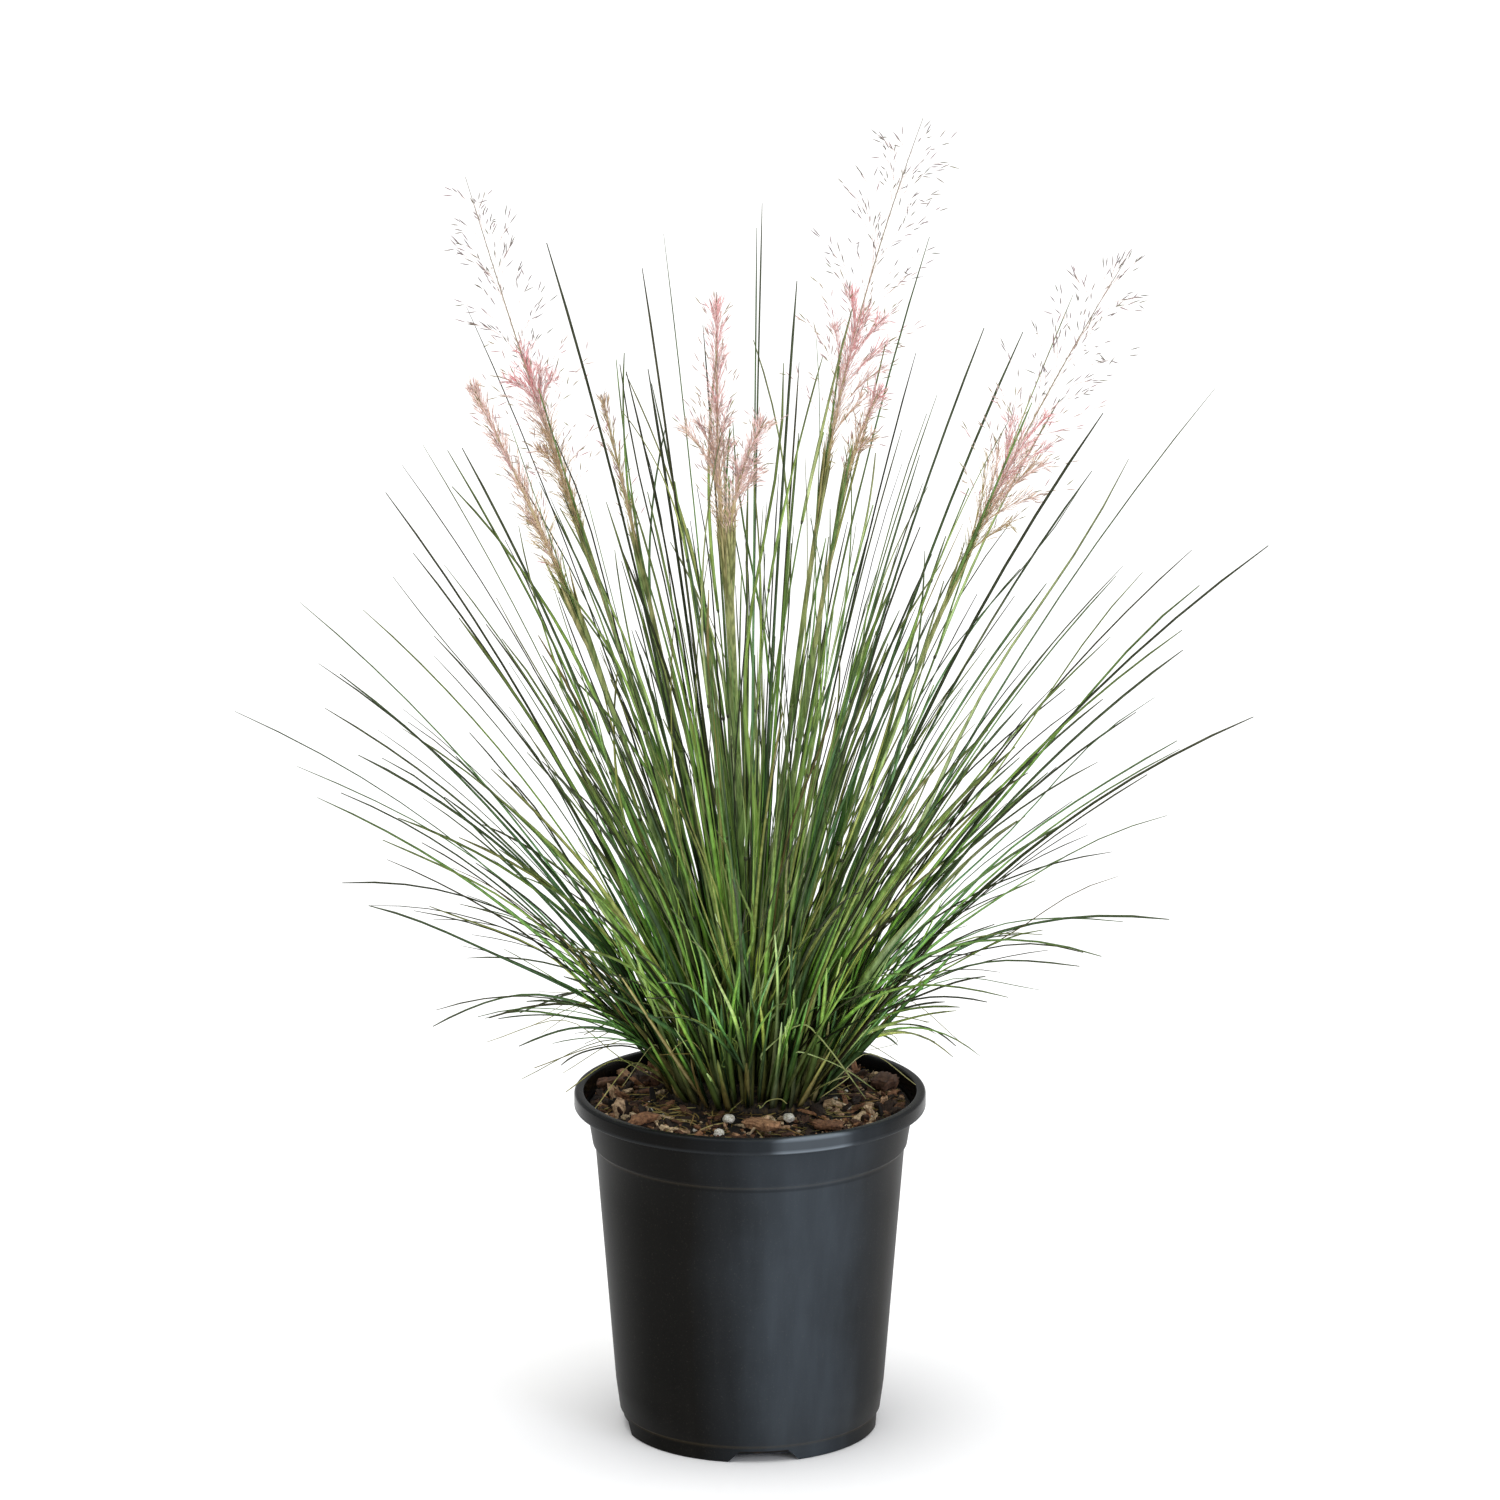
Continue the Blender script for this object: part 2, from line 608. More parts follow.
def bezier(route, shares):
    """Points at these shares of a line that leaves its start towards the pull point."""
    start, pull, end = route
    share = np.asarray(shares, float)[:, None]
    rest = 1 - share
    return rest * rest * start + 2 * rest * share * pull + share * share * end


def smooth_line(knots, count):
    """A line of count points that passes through hand-placed knots without corners."""
    knots = np.array(knots, float)
    ends = [2 * knots[0] - knots[1], *knots, 2 * knots[-1] - knots[-2]]
    places = np.linspace(0, len(knots) - 1.0001, count)
    line = []
    for place in places:
        k, t = int(place), place % 1
        a, b, c, d = ends[k : k + 4]
        line.append(0.5 * (2 * b + (c - a) * t + (2 * a - 5 * b + 4 * c - d) * t**2
                           + (3 * b - a - 3 * c + d) * t**3))
    return np.array(line)


# %% [markdown]
# ## Potting mix
#
# The mix is composted bark, dark and lumpy, mounded up to the tuft. Its skin is spun from an
# outline like the pot, then every point of its top is lifted by layered noise: broad lumps
# that follow the fixed model, crumbs of a few millimetres and a fine grain.

# %% Potting mix
MIX_WALL_Z = 208 * MM
MIX_CROWN_Z = 217.5 * MM
MIX_LUMP = 1.2 * MM
MIX_LUMP_SPACING = 22 * MM
CRUMB, CRUMB_SPACING = 1.5 * MM, 6 * MM
GRAIN, GRAIN_SPACING = 0.7 * MM, 2.2 * MM
CROWN_SIDE_R = crown_point(math.pi / 2)[0][0]
SEAT_R = CROWN_SIDE_R + GAP
MIX_RINGS = 46
MIX_STEPS = 300


def mix_height(x, y):
    """The height of the mix with its broad lumps only, as the fixed model has it."""
    radius = math.hypot(x, y)
    outer = inner_radius(MIX_WALL_Z)
    share = min(max((radius - SEAT_R) / (outer - SEAT_R), 0), 1)
    lump = noise.noise(Vector((x, y, 0)) / MIX_LUMP_SPACING)
    edge = min(1, 6 * share, 6 * (1 - share))
    return MIX_CROWN_Z + (MIX_WALL_Z - MIX_CROWN_Z) * share + MIX_LUMP * lump * edge


def ground_height(x, y):
    """The height of the mix with its crumbs and grain."""
    crumb = noise.noise(Vector((x, y, 0.3)) / CRUMB_SPACING)
    grain = noise.noise(Vector((x, y, 0.7)) / GRAIN_SPACING)
    return mix_height(x, y) + CRUMB * crumb + GRAIN * grain


def make_potting_mix():
    material, shader = new_material("composted pine bark mix", "#2a1a10", 0.95)
    place = add_node(material, "TexCoord").outputs["Object"]
    coarse = add_node(material, "TexNoise", {"Vector": place, "Scale": 160, "Detail": 6,
                                             "Roughness": 0.7})
    fine = add_node(material, "TexNoise", {"Vector": place, "Scale": 800, "Detail": 4})
    colour = add_node(material, "ValToRGB", {0: coarse.outputs[0]},
                      stops=[(0.4, "#050302"), (0.52, "#150d07"), (0.62, "#3a2819"),
                             (0.76, "#8f6a48")])
    connect(material, colour.outputs[0], shader, "Base Color")
    bumped(material, shader, fine.outputs[0], 0.5 * MM)
    outer = inner_radius(MIX_WALL_Z) - GAP
    seat_z = CROWN_FLOOR_Z - GAP
    outline = [(0, seat_z), (SEAT_R, seat_z), (SEAT_R, (seat_z + MIX_CROWN_Z) / 2)]
    outline += [(SEAT_R + (outer - SEAT_R) * k / MIX_RINGS, MIX_CROWN_Z)
                for k in range(MIX_RINGS + 1)]
    wall = [(r - GAP, z) for r, z in INNER_WALL if z < MIX_WALL_Z]
    wall[-1] = (wall[-1][0], wall[-1][1] + GAP)
    bm = spun(outline + wall + [(0, wall[-1][1])], MIX_STEPS)
    for vert in bm.verts:
        if vert.co.z > MIX_WALL_Z:
            vert.co.z = ground_height(vert.co.x, vert.co.y)
    finish_piece(from_bmesh("mix_mound", bm, material), ["potting_mix"])


make_potting_mix()

# %% [markdown]
# ## Bark, crumbs, perlite and straws
#
# On top lie split chips of pine bark from a few millimetres to two centimetres, white beads
# of perlite, and straws of dead leaf. A chip is a short block that is subdivided and worn by
# noise, stretched along its grain. Hundreds of small ones are joined into one mesh.

# %% Bark material
bark, shader = new_material("split pine bark", "#6e3f24", 0.85)
place = add_node(bark, "TexCoord").outputs["Object"]
marks = add_node(bark, "Attribute", attribute_name="marks")
tone = add_node(bark, "SeparateColor", {0: marks.outputs["Color"]}).outputs["Green"]
grain = add_node(bark, "TexNoise", {"Vector": place, "Scale": 420, "Detail": 5,
                                    "Roughness": 0.7})
body = add_node(bark, "ValToRGB", {0: tone},
                stops=[(0.0, "#120c08"), (0.35, "#3e2c1f"), (0.6, "#6c4a34"),
                       (0.82, "#b0805a"), (1.0, "#e6cea8")])
veins = add_node(bark, "ValToRGB", {0: grain.outputs[0]},
                 stops=[(0.36, "#5e4a3a"), (0.6, "#ffffff")])
connect(bark, blended(bark, 0.8, body.outputs[0], veins.outputs[0], "MULTIPLY"), shader,
        "Base Color")
bumped(bark, shader, grain.outputs[0], 0.5 * MM)

# %% Loose pieces
BARK_CHIPS = [  # across, back, length, width, thickness in mm, turn in degrees, tone
    (8, -76, 21, 10, 5, -35, 0.84),
    (-84, 24, 24, 8, 4, 12, 0.6),
    (-66, -56, 17, 9, 5, 40, 0.75),
    (84, 20, 22, 12, 6, 70, 0.5),
    (48, -70, 19, 9, 4, -20, 0.66),
]
PERLITE_BEADS = [(-13, -66, 7.5), (-19, -82, 6.5), (24, -62, 7)]


def worn_block(size, seed, cuts):
    """Points and faces of a block that is worn by noise, about the origin."""
    bm = bmesh.new()
    bmesh.ops.create_cube(bm, size=1)
    bmesh.ops.subdivide_edges(bm, edges=bm.edges[:], cuts=cuts, use_grid_fill=True)
    longest = max(size)
    for vert in bm.verts:
        rounded = vert.co.normalized() * 0.62
        vert.co = vert.co.lerp(rounded, 0.45)
        vert.co = Vector(c * s for c, s in zip(vert.co, size))
        wear = noise.noise_vector(vert.co / (0.3 * longest) + Vector((seed * 3.7, 0, 0)))
        split = noise.noise_vector(vert.co * 2.6 / longest * Vector((1, 3, 3)) * 2
                                   + Vector((0, seed * 1.9, 0))) if cuts > 1 else Vector()
        vert.co += Vector(w * s * 0.22 for w, s in zip(wear, size))
        vert.co += Vector(w * s * 0.14 for w, s in zip(split, size))
    bm.verts.index_update()
    points = np.array([vert.co for vert in bm.verts])
    faces = [tuple(vert.index for vert in face.verts) for face in bm.faces]
    bm.free()
    return points, faces


def placed(points, turn, tilt, centre):
    """Points turned about the upright axis after a tilt, and moved."""
    matrix = Matrix.Rotation(turn, 3, "Z") @ Matrix.Rotation(tilt, 3, "Y")
    return points @ np.array(matrix).T + centre


def highest_mix(x, y, reach, height):
    angles = np.arange(12) * math.tau / 12
    around = [(x + r * math.cos(a), y + r * math.sin(a)) for a in angles for r in (0, reach)]
    limit = inner_radius(MIX_WALL_Z)
    return max(height(px, py) for px, py in around if math.hypot(px, py) < limit)


def make_bark_chips():
    for i, (x, y, length, width, thickness, turn, tone) in enumerate(BARK_CHIPS, 1):
        bundle = Bundle()
        size = (length * 1.02 * MM, width * 1.02 * MM, thickness * MM)
        points, faces = worn_block(size, i, 7)
        points = placed(points, math.radians(turn), 0, (x * MM, y * MM, 0))
        reach = length / 2 * MM + 4 * MM
        points[:, 2] += highest_mix(x * MM, y * MM, reach, mix_height) - points[:, 2].min()
        bundle.add(points, faces, np.tile((0.5, tone, 0, 0.5), (len(points), 1)))
        chip = bundle.build(f"bark_chip_{i}_split", bark)
        finish_piece(chip, [f"bark_chip_{i}"])


def make_crumbs():
    """Small bark chips and crumbs, strewn over the mix and thicker near the wall."""
    dice = random.Random(11)
    bundle = Bundle()
    shapes = [worn_block((1, 0.2 + 0.04 * k, 0.12 + 0.02 * k), 20 + k, 2) for k in range(7)]
    grains = [worn_block((1, 0.8, 0.7), 40 + k, 1) for k in range(4)]
    limit = inner_radius(MIX_WALL_Z) - 2 * MM
    for k in range(CHIP_COUNT + CRUMB_COUNT):
        chip = k < CHIP_COUNT
        length = (dice.triangular(6, 22, 10) if chip else dice.uniform(1.5, 4)) * MM
        points, faces = dice.choice(shapes if chip else grains)
        share = math.sqrt(dice.uniform(0.0, 1.0))
        radius = SEAT_R + 1 * MM + (limit - length / 2 - SEAT_R) * share
        azimuth = dice.uniform(0, math.tau)
        x, y = radius * math.cos(azimuth), radius * math.sin(azimuth)
        if y < -50 * MM:  # in front the photo's own chips lie on top
            length *= 0.7
        tilt = dice.gauss(0, 0.55)
        sunk = dice.uniform(-0.06, 0.1) * length
        centre = (x, y, ground_height(x, y) + sunk)
        body = placed(points * length, dice.uniform(0, math.tau), tilt, centre)
        tone = dice.gauss(dice.choice((0.05, 0.2, 0.4, 0.55, 0.68, 0.92)), 0.08)
        tone = min(max(tone + (0.16 if y < -50 * MM else 0), 0), 1)
        bundle.add(body, faces, np.tile((0.5, tone, 0, 0.5), (len(body), 1)))
    for across, down, length, wide, turn, tone in SEEN_CHIPS:
        x, y, _ = seen_on(across, down, MIX_WALL_Z + 4 * MM)
        points, faces = worn_block((length * MM, wide * MM, 0.4 * wide * MM), across, 3)
        centre = (x, y, ground_height(x, y) + 0.3 * wide * MM)
        body = placed(points, math.radians(turn), 0.12, centre)
        bundle.add(body, faces, np.tile((0.5, tone, 0, 0.5), (len(body), 1)))
    finish_piece(bundle.build("bark_crumbs", bark, smooth=False))


CHIP_COUNT = 620
CRUMB_COUNT = 900
SEEN_CHIPS = [  # pixel, length and width in mm, turn in degrees, tone
    (607, 1079, 17, 5, 4, 0.86), (619, 1115, 12, 5, 25, 0.84), (640, 1108, 10, 3, 50, 0.95),
    (668, 1122, 21, 4, -14, 0.98), (704, 1131, 9, 4, 80, 0.88), (712, 1124, 8, 3, 65, 0.8),
    (790, 1126, 13, 4, 5, 0.95), (812, 1121, 16, 4, -25, 0.8), (862, 1111, 13, 5, 40, 0.6),
    (893, 1092, 15, 6, 80, 0.7), (757, 1119, 7, 3, 10, 1.0), (680, 1131, 11, 4, -8, 0.9),
]
make_bark_chips()
make_crumbs()

# %% [markdown]
# ### Perlite
#
# Perlite is volcanic glass that has been heated until it pops, so a bead is a round white
# foam with dents. It starts as an icosphere, and two layers of noise dent it.

# %% Perlite


def make_perlite():
    material, shader = new_material("expanded perlite", "#d8d5c8", 0.9)
    place = add_node(material, "TexCoord").outputs["Object"]
    foam = add_node(material, "TexNoise", {"Vector": place, "Scale": 900, "Detail": 4})
    colour = add_node(material, "ValToRGB", {0: foam.outputs[0]},
                      stops=[(0.35, "#a79f8c"), (0.55, "#dedbd0"), (0.7, "#f2f0e8")])
    connect(material, colour.outputs[0], shader, "Base Color")
    bumped(material, shader, foam.outputs[0], 0.6 * MM)
    for i, (x, y, size) in enumerate(PERLITE_BEADS, 1):
        bead = perlite_bead(size / 2 * MM, i, 4)
        reach = size / 2 * MM + 4 * MM
        lift = highest_mix(x * MM, y * MM, reach, mix_height) - min(v.co.z for v in bead.verts)
        bmesh.ops.translate(bead, vec=(x * MM, y * MM, lift), verts=bead.verts)
        piece = from_bmesh(f"perlite_bead_{i}", bead, material)
        finish_piece(piece, [f"perlite_{i}"])
    dice = random.Random(5)
    bundle = Bundle()
    for k in range(34):
        size = dice.uniform(1.4, 3.6) * MM
        radius = dice.uniform(SEAT_R + 4 * MM, inner_radius(MIX_WALL_Z) - 5 * MM)
        azimuth = dice.uniform(0, math.tau)
        x, y = radius * math.cos(azimuth), radius * math.sin(azimuth)
        bead = perlite_bead(size / 2, 30 + k, 2)
        points = np.array([v.co for v in bead.verts])
        bead.verts.index_update()
        faces = [tuple(v.index for v in face.verts) for face in bead.faces]
        bead.free()
        points += (x, y, ground_height(x, y) + 0.3 * size)
        bundle.add(points, faces, np.tile((0.5, 0.5, 0, 0.5), (len(points), 1)))
    finish_piece(bundle.build("perlite_grit", material))


def perlite_bead(radius, seed, fineness):
    bm = bmesh.new()
    bmesh.ops.create_icosphere(bm, subdivisions=fineness, radius=radius)
    for vert in bm.verts:
        dent = noise.noise(vert.co / (0.8 * radius) + Vector((0, 5 * seed, 0)))
        pit = noise.noise(vert.co / (0.25 * radius) + Vector((3 * seed, 0, 0)))
        vert.co *= 1 + 0.2 * dent + 0.07 * pit
        vert.co.z *= 0.8
    return bm


make_perlite()

# %% [markdown]
# ### Straws
#
# Dead leaf bits lie about on the mix, pale and thin, in all directions. Each is a short
# bent strand laid on the highest ground under it.

# %% Straws on the mix


def make_straws(leaf):
    dice = random.Random(23)
    bundle = Bundle()
    limit = inner_radius(MIX_WALL_Z) - 4 * MM
    for _ in range(STRAW_COUNT):
        length = dice.triangular(4, 30, 8) * MM
        radius = dice.uniform(SEAT_R + 2 * MM, limit - 2 * MM)
        azimuth, turn = dice.uniform(0, math.tau), dice.uniform(0, math.tau)
        bend = dice.gauss(0, 0.2)
        line = []
        for k in range(7):
            along = (k / 6 - 0.5) * length
            x = radius * math.cos(azimuth) + along * math.cos(turn + bend * k / 6)
            y = radius * math.sin(azimuth) + along * math.sin(turn + bend * k / 6)
            reach = math.hypot(x, y)
            if reach > limit:
                x, y = x * limit / reach, y * limit / reach
            line.append((x, y, ground_height(x, y) + 1.2 * MM))
        line = np.array(line)
        line[:, 2] = np.linspace(line[:, 2].max(), line[:, 2].mean(), 7)
        width = dice.uniform(0.5, 1.2) * MM
        widths = width * np.array([0.6, 1, 1, 1, 0.9, 0.7, 0.3])
        bundle.strand(line, widths, LEAF_CUT, tone=dice.random(), dry=dice.uniform(0.92, 1),
                      face=(0, 0, 1), roll=dice.gauss(0, 0.4))
    finish_piece(bundle.build("straws_on_mix", leaf))


STRAW_COUNT = 480

# %% [markdown]
# ## Leaf
#
# A muhly leaf is a rolled, wiry blade. It is straw-coloured in the sheath, green to
# grey-green along its length and bleached at the tip, and no two shoots have quite the same
# green. The colour comes from the marks: the tone picks a green, the place along the leaf
# browns its foot and fades its tip, one half of the fold is darker, and dry leaves turn to
# straw.

# %% Leaf material


def leaf_material():
    material, shader = new_material("muhly grass leaf", "#4a6f33", 0.5)
    shader.inputs["IOR"].default_value = 1.42
    shader.inputs["Specular IOR Level"].default_value = 0.14
    marks = add_node(material, "Attribute", attribute_name="marks")
    split = add_node(material, "SeparateColor", {0: marks.outputs["Color"]})
    along, tone, dry = split.outputs
    place = add_node(material, "TexCoord").outputs["Object"]
    drawn = add_node(material, "Mapping", {"Vector": place, "Scale": (1, 1, 0.15)})
    mottle = add_node(material, "TexNoise", {"Vector": drawn.outputs[0], "Scale": 260,
                                             "Detail": 3})
    greens = add_node(material, "ValToRGB", {0: tone},
                      stops=[(0.0, "#1e2814"), (0.12, "#2f4224"), (0.25, "#8cc68c"),
                             (0.4, "#94cc66"), (0.55, "#b8e07e"), (0.72, "#e4fac4"),
                             (0.88, "#e0ee8a"), (1.0, "#e4e492")])
    ends = add_node(material, "ValToRGB", {0: along},
                    stops=[(0.0, "#281b07"), (0.08, "#2a2706"), (0.14, "#273b07"),
                           (0.21, "#395a13"), (0.3, "#e6fabe"), (0.4, "#ffffff"),
                           (0.6, "#e2e2ca"), (0.85, "#97947c"), (1.0, "#7c7662")])
    shaded = blended(material, 0.85, greens.outputs[0], ends.outputs[0], "MULTIPLY")
    tips = add_node(material, "MapRange", {"Value": along, "From Min": 0.38, "From Max": 1.0,
                                           "To Max": 0.5})
    shaded = blended(material, tips.outputs[0], shaded, "#5f6450")
    straw = add_node(material, "ValToRGB", {0: tone},
                     stops=[(0.0, "#6f5c34"), (0.4, "#a5925a"), (0.75, "#c8b880"),
                            (1.0, "#8b5930")])
    shaded = blended(material, dry, shaded, straw.outputs[0])
    patches = add_node(material, "ValToRGB", {0: mottle.outputs[0]},
                       stops=[(0.3, "#a9a9a0"), (0.6, "#ffffff")])
    shaded = blended(material, 0.8, shaded, patches.outputs[0], "MULTIPLY")
    fold = add_node(material, "ValToRGB", {0: marks.outputs["Alpha"]},
                    stops=[(0.0, "#8f9a84"), (0.45, "#ffffff"), (1.0, "#fff6d4")])
    connect(material, blended(material, 0.8, shaded, fold.outputs[0], "MULTIPLY"), shader,
            "Base Color")
    bumped(material, shader, mottle.outputs[0], 0.12 * MM)
    return material


leaf = leaf_material()
make_straws(leaf)

# %% [markdown]
# ## Crown
#
# The crown is what the shoots grow from, a knot of old leaf bases. Only bits of it show, dark
# and straw-coloured between the shoots. Its outline is spun and roughened, and broad sheaths
# stand all over it, olive above and brown where they have died, which is what the foot of the
# tuft looks like from outside.

# %% Crown
CROWN_OUTLINE = [math.radians(a) for a in (0, 5, 10, 15, 20, 25, 29, 40, 52, 64, 77, 90)]


def make_crown():
    material, shader = new_material("old leaf bases", "#3a2d18", 0.85)
    place = add_node(material, "TexCoord").outputs["Object"]
    drawn = add_node(material, "Mapping", {"Vector": place, "Scale": (1, 1, 0.2)})
    fibre = add_node(material, "TexNoise", {"Vector": drawn.outputs[0], "Scale": 500,
                                            "Detail": 4})
    colour = add_node(material, "ValToRGB", {0: fibre.outputs[0]},
                      stops=[(0.38, "#0a0704"), (0.54, "#2a1f10"), (0.7, "#5a4a26")])
    connect(material, colour.outputs[0], shader, "Base Color")
    bumped(material, shader, fibre.outputs[0], 0.6 * MM)
    points = [crown_point(lean)[0] for lean in CROWN_OUTLINE]
    outline = [(p[0], p[2]) for p in points]
    outline += [(outline[-1][0], CROWN_FLOOR_Z), (0, CROWN_FLOOR_Z)]
    bm = spun(outline, 96)
    for vert in bm.verts:
        if vert.co.z > CROWN_FLOOR_Z + GAP:
            rough = noise.noise(vert.co / (3 * MM))
            vert.co -= vert.co.normalized() * abs(rough) * 1.2 * MM
    crown = from_bmesh("crown_of_leaf_bases", bm, material)
    finish_piece(crown, ["crown"])


make_crown()

# %% Sheaths at the foot
FOOT_SHEATH_COUNT = 120
FOOT_SHEATH_LEAN = math.radians(31)


def leaf_widths(width, rings, tip=0.6 * MM, slim=0.5):
    """Widths along a leaf: full for a third of it, slim beyond the middle, then a hair."""
    shares = np.linspace(0, 1, rings)
    full = np.interp(shares, (0, 0.06, 0.3, 0.6, 0.93, 1), (0.8, 1, 0.95, slim, 0.85 * slim, 0))
    return tip + (width - tip) * full


def make_foot_sheaths():
    dice = random.Random(12)
    bundle = Bundle()
    for k in range(FOOT_SHEATH_COUNT):
        azimuth = k * GOLDEN_TURN + dice.gauss(0, 0.2)
        share = math.sqrt((k + 0.5) / FOOT_SHEATH_COUNT)
        foot, outward = crown_point(math.radians(78) * share, azimuth)
        radial = np.array((math.cos(azimuth), math.sin(azimuth), 0.0))
        sideways = np.array((-radial[1], radial[0], 0.0))
        lean = FOOT_SHEATH_LEAN * share * dice.uniform(0.5, 1.2)
        ahead = math.sin(lean) * radial + math.cos(lean) * UP
        old = dice.random() < 0.25
        reach = dice.triangular(30, 60 if old else 150, 45 if old else 70) * MM
        end = foot + ahead * reach + sideways * reach * dice.gauss(0, 0.12)
        pull = foot + 3 * MM * outward + ahead * reach * 0.4
        bundle.strand(bezier((foot, pull, end), np.linspace(0, 1, 9)),
                      leaf_widths(dice.uniform(3.2, 5.6) * MM, 9), LEAF_CUT,
                      tone=dice.uniform(0.1, 0.95),
                      dry=dice.uniform(0.4, 0.9) if old else dice.uniform(0, 0.12),
                      face=tuple(radial), roll=dice.gauss(0, 0.6), along=(0, 0.4))
    finish_piece(bundle.build("foot_sheaths", leaf))


make_foot_sheaths()

# %% [markdown]
# ## Shoots
#
# A shoot is a fan of leaves in a shared sheath. The fixed model has 33 leading shoots of
# four leaves each, and the scene's shoots stand in their place, with every leaf on the same
# line and a few thinner ones beside them. Leaves grow from the foot, so they are widest near
# the sheath and end in a hair.

# %% Leaf lines
SHOOTS = [  # tip across, back and up in mm, arch
    (-319, 15, 458, 0.15), (-283, 95, 509, 0.11), (-263, -75, 426, 0.13),
    (-257, -140, 525, 0.12), (-261, 130, 317, 0.30), (-203, -120, 367, 0.20),
    (-192, -84, 294, 0.34), (-231, 150, 568, 0.09), (-184, -20, 630, 0.07),
    (-175, 60, 704, 0.06), (-122, -50, 763, 0.04), (-53, 50, 751, 0.02),
    (4, -20, 767, 0.01), (109, 0, 758, 0.05), (171, 120, 677, 0.07),
    (211, -90, 667, 0.08), (288, 60, 653, 0.08), (315, -40, 575, 0.12),
    (235, 190, 505, 0.12), (316, 70, 441, 0.16), (256, -150, 475, 0.13),
    (257, -60, 345, 0.32), (209, -190, 358, 0.33), (146, 75, 218, 0.42),
    (-120, -280, 500, 0.13), (-10, -318, 440, 0.16), (130, -270, 520, 0.12),
    (-60, -190, 640, 0.08), (70, -170, 660, 0.07), (-130, 265, 540, 0.12),
    (10, 318, 470, 0.15), (140, 280, 500, 0.14), (-30, 180, 670, 0.07),
]
SHEATH_LENGTH = 38 * MM
SHEATH_FOOT_W = 5.4 * MM
SHEATH_TOP_W = 4.2 * MM
BLADE_START = 16 * MM
BLADE_STEP = 3 * MM
COMPANIONS = [(7.5, 1.5, 0.86), (-7, -1.5, 0.74), (0.8, 8.5, 0.62)]  # side, rise, share
LEAF_RINGS = 13
WIRY_SHARE = 0.4  # leaves that are rolled up tight, thin and dark


def rotated(axis, degrees):
    return np.array(Matrix.Rotation(math.radians(degrees), 3, Vector(axis)))


def wavy(line, dice, amount):
    """A line with a slight wave, which is nothing at its foot and little at its tip."""
    shares = np.linspace(0, 1, len(line))[:, None]
    length = np.linalg.norm(line[-1] - line[0])
    sway = np.array([dice.gauss(0, 1) for _ in range(3)])
    sway2 = np.array([dice.gauss(0, 1) for _ in range(3)])
    wave = np.sin(math.pi * shares) * shares * sway
    wave = wave + 0.5 * np.sin(2.7 * math.pi * shares) * shares * sway2
    return line + amount * length * wave * (1 - 0.7 * shares)


def grow_shoot(bundle, tip, arch, dice, tone, width, companions, extra, start_at=BLADE_START,
               slant=0, wiry_share=WIRY_SHARE):
    """A sheath, its leading leaf, the leaves that go with it and extra seeded ones. A slant
    in degrees tips them all sideways, so that the leaves of two shoots cross."""
    route = route_from_crown(tip, arch)
    start, pull, end = route
    length = 2 * np.linalg.norm(pull - start)
    up_axis = unit(pull - start)
    sideways = np.cross(up_axis, UP)
    if np.linalg.norm(sideways) < 0.05:
        sideways = np.array((0.0, 1.0, 0.0))
    sideways = unit(sideways)
    upright = np.cross(sideways, up_axis)
    scale = width / (4 * MM)
    sheath_end = SHEATH_LENGTH * dice.uniform(1.0, 1.9)
    sheath = bezier(route, np.linspace(0, min(sheath_end / length, 0.5), 6))
    widths = scale * np.linspace(SHEATH_FOOT_W, SHEATH_TOP_W, 6)
    widths[-1] *= 0.55
    bundle.strand(sheath, widths, STEM_CUT, tone=tone, dry=dice.uniform(0.15, 0.6),
                  along=(0.03, 0.18))
    mouth_share = start_at / length
    shares = np.linspace(0, 1, LEAF_RINGS)
    line = bezier(route, mouth_share + (1 - mouth_share) * shares)
    mouth = line[0]
    fan = [(0, 0, 1)] + companions
    for _ in range(extra):
        fan.append((dice.gauss(0, 16), dice.gauss(0, 11), dice.uniform(0.3, 0.66)))
    for k, (side, rise, share) in enumerate(fan):
        turn = rotated(upright, side + slant) @ rotated(sideways, rise)
        higher = bezier(route, [mouth_share + min(k, 5) * BLADE_STEP / length])[0]
        followed = higher + (line - mouth) @ turn.T * share
        if k:
            followed = wavy(followed, dice, 0.042)
        wiry = k > 0 and dice.random() < wiry_share
        own = dice.uniform(1.1, 1.55) * MM if wiry else width * dice.uniform(0.75, 1.2)
        twist = dice.uniform(0, math.tau)
        own_tone = min(max(tone + dice.gauss(0, 0.2), 0.16), 0.86)
        own_tone = dice.uniform(0, 0.16) if wiry else own_tone if k else 0.6 * own_tone
        dry = dice.uniform(0.4, 0.8) if dice.random() < 0.02 else dice.uniform(0, 0.08)
        slim = 0.85 if wiry else 0.37 if k else 0.3 + min(1.5 * arch, 0.24)
        widths = leaf_widths(own, LEAF_RINGS, slim=slim)
        bundle.strand(followed, widths, LEAF_CUT, tone=own_tone, dry=dry,
                      roll=twist + np.linspace(0, dice.gauss(0, 1.2), LEAF_RINGS))


# %% Leading shoots
dice = random.Random(71)
for i, (x, y, z, arch) in enumerate(SHOOTS, 1):
    bundle = Bundle()
    tip = (x * MM, y * MM, z * MM)
    outer = min(arch / 0.14, 1)  # how far out in the tuft the shoot stands
    tone = dice.uniform(0.25, 0.9) - 0.2 * outer
    grow_shoot(bundle, tip, arch, dice, tone, (3.9 - 1.1 * outer) * MM, COMPANIONS, 3)
    finish_piece(bundle.build(f"shoot_{i:02}", leaf), [f"tiller_{i:02}"])

# %% [markdown]
# ## Young shoots
#
# Between the leading shoots stand 70 younger ones, shorter and more crowded. They are
# the body of the tuft. Seeded dice strew them over the dome, and each grows by the same
# function as the leading ones, so the whole tuft has one habit.

# %% Young shoots
YOUNG_COUNT = 70
YOUNG_LEAN = math.radians(37)


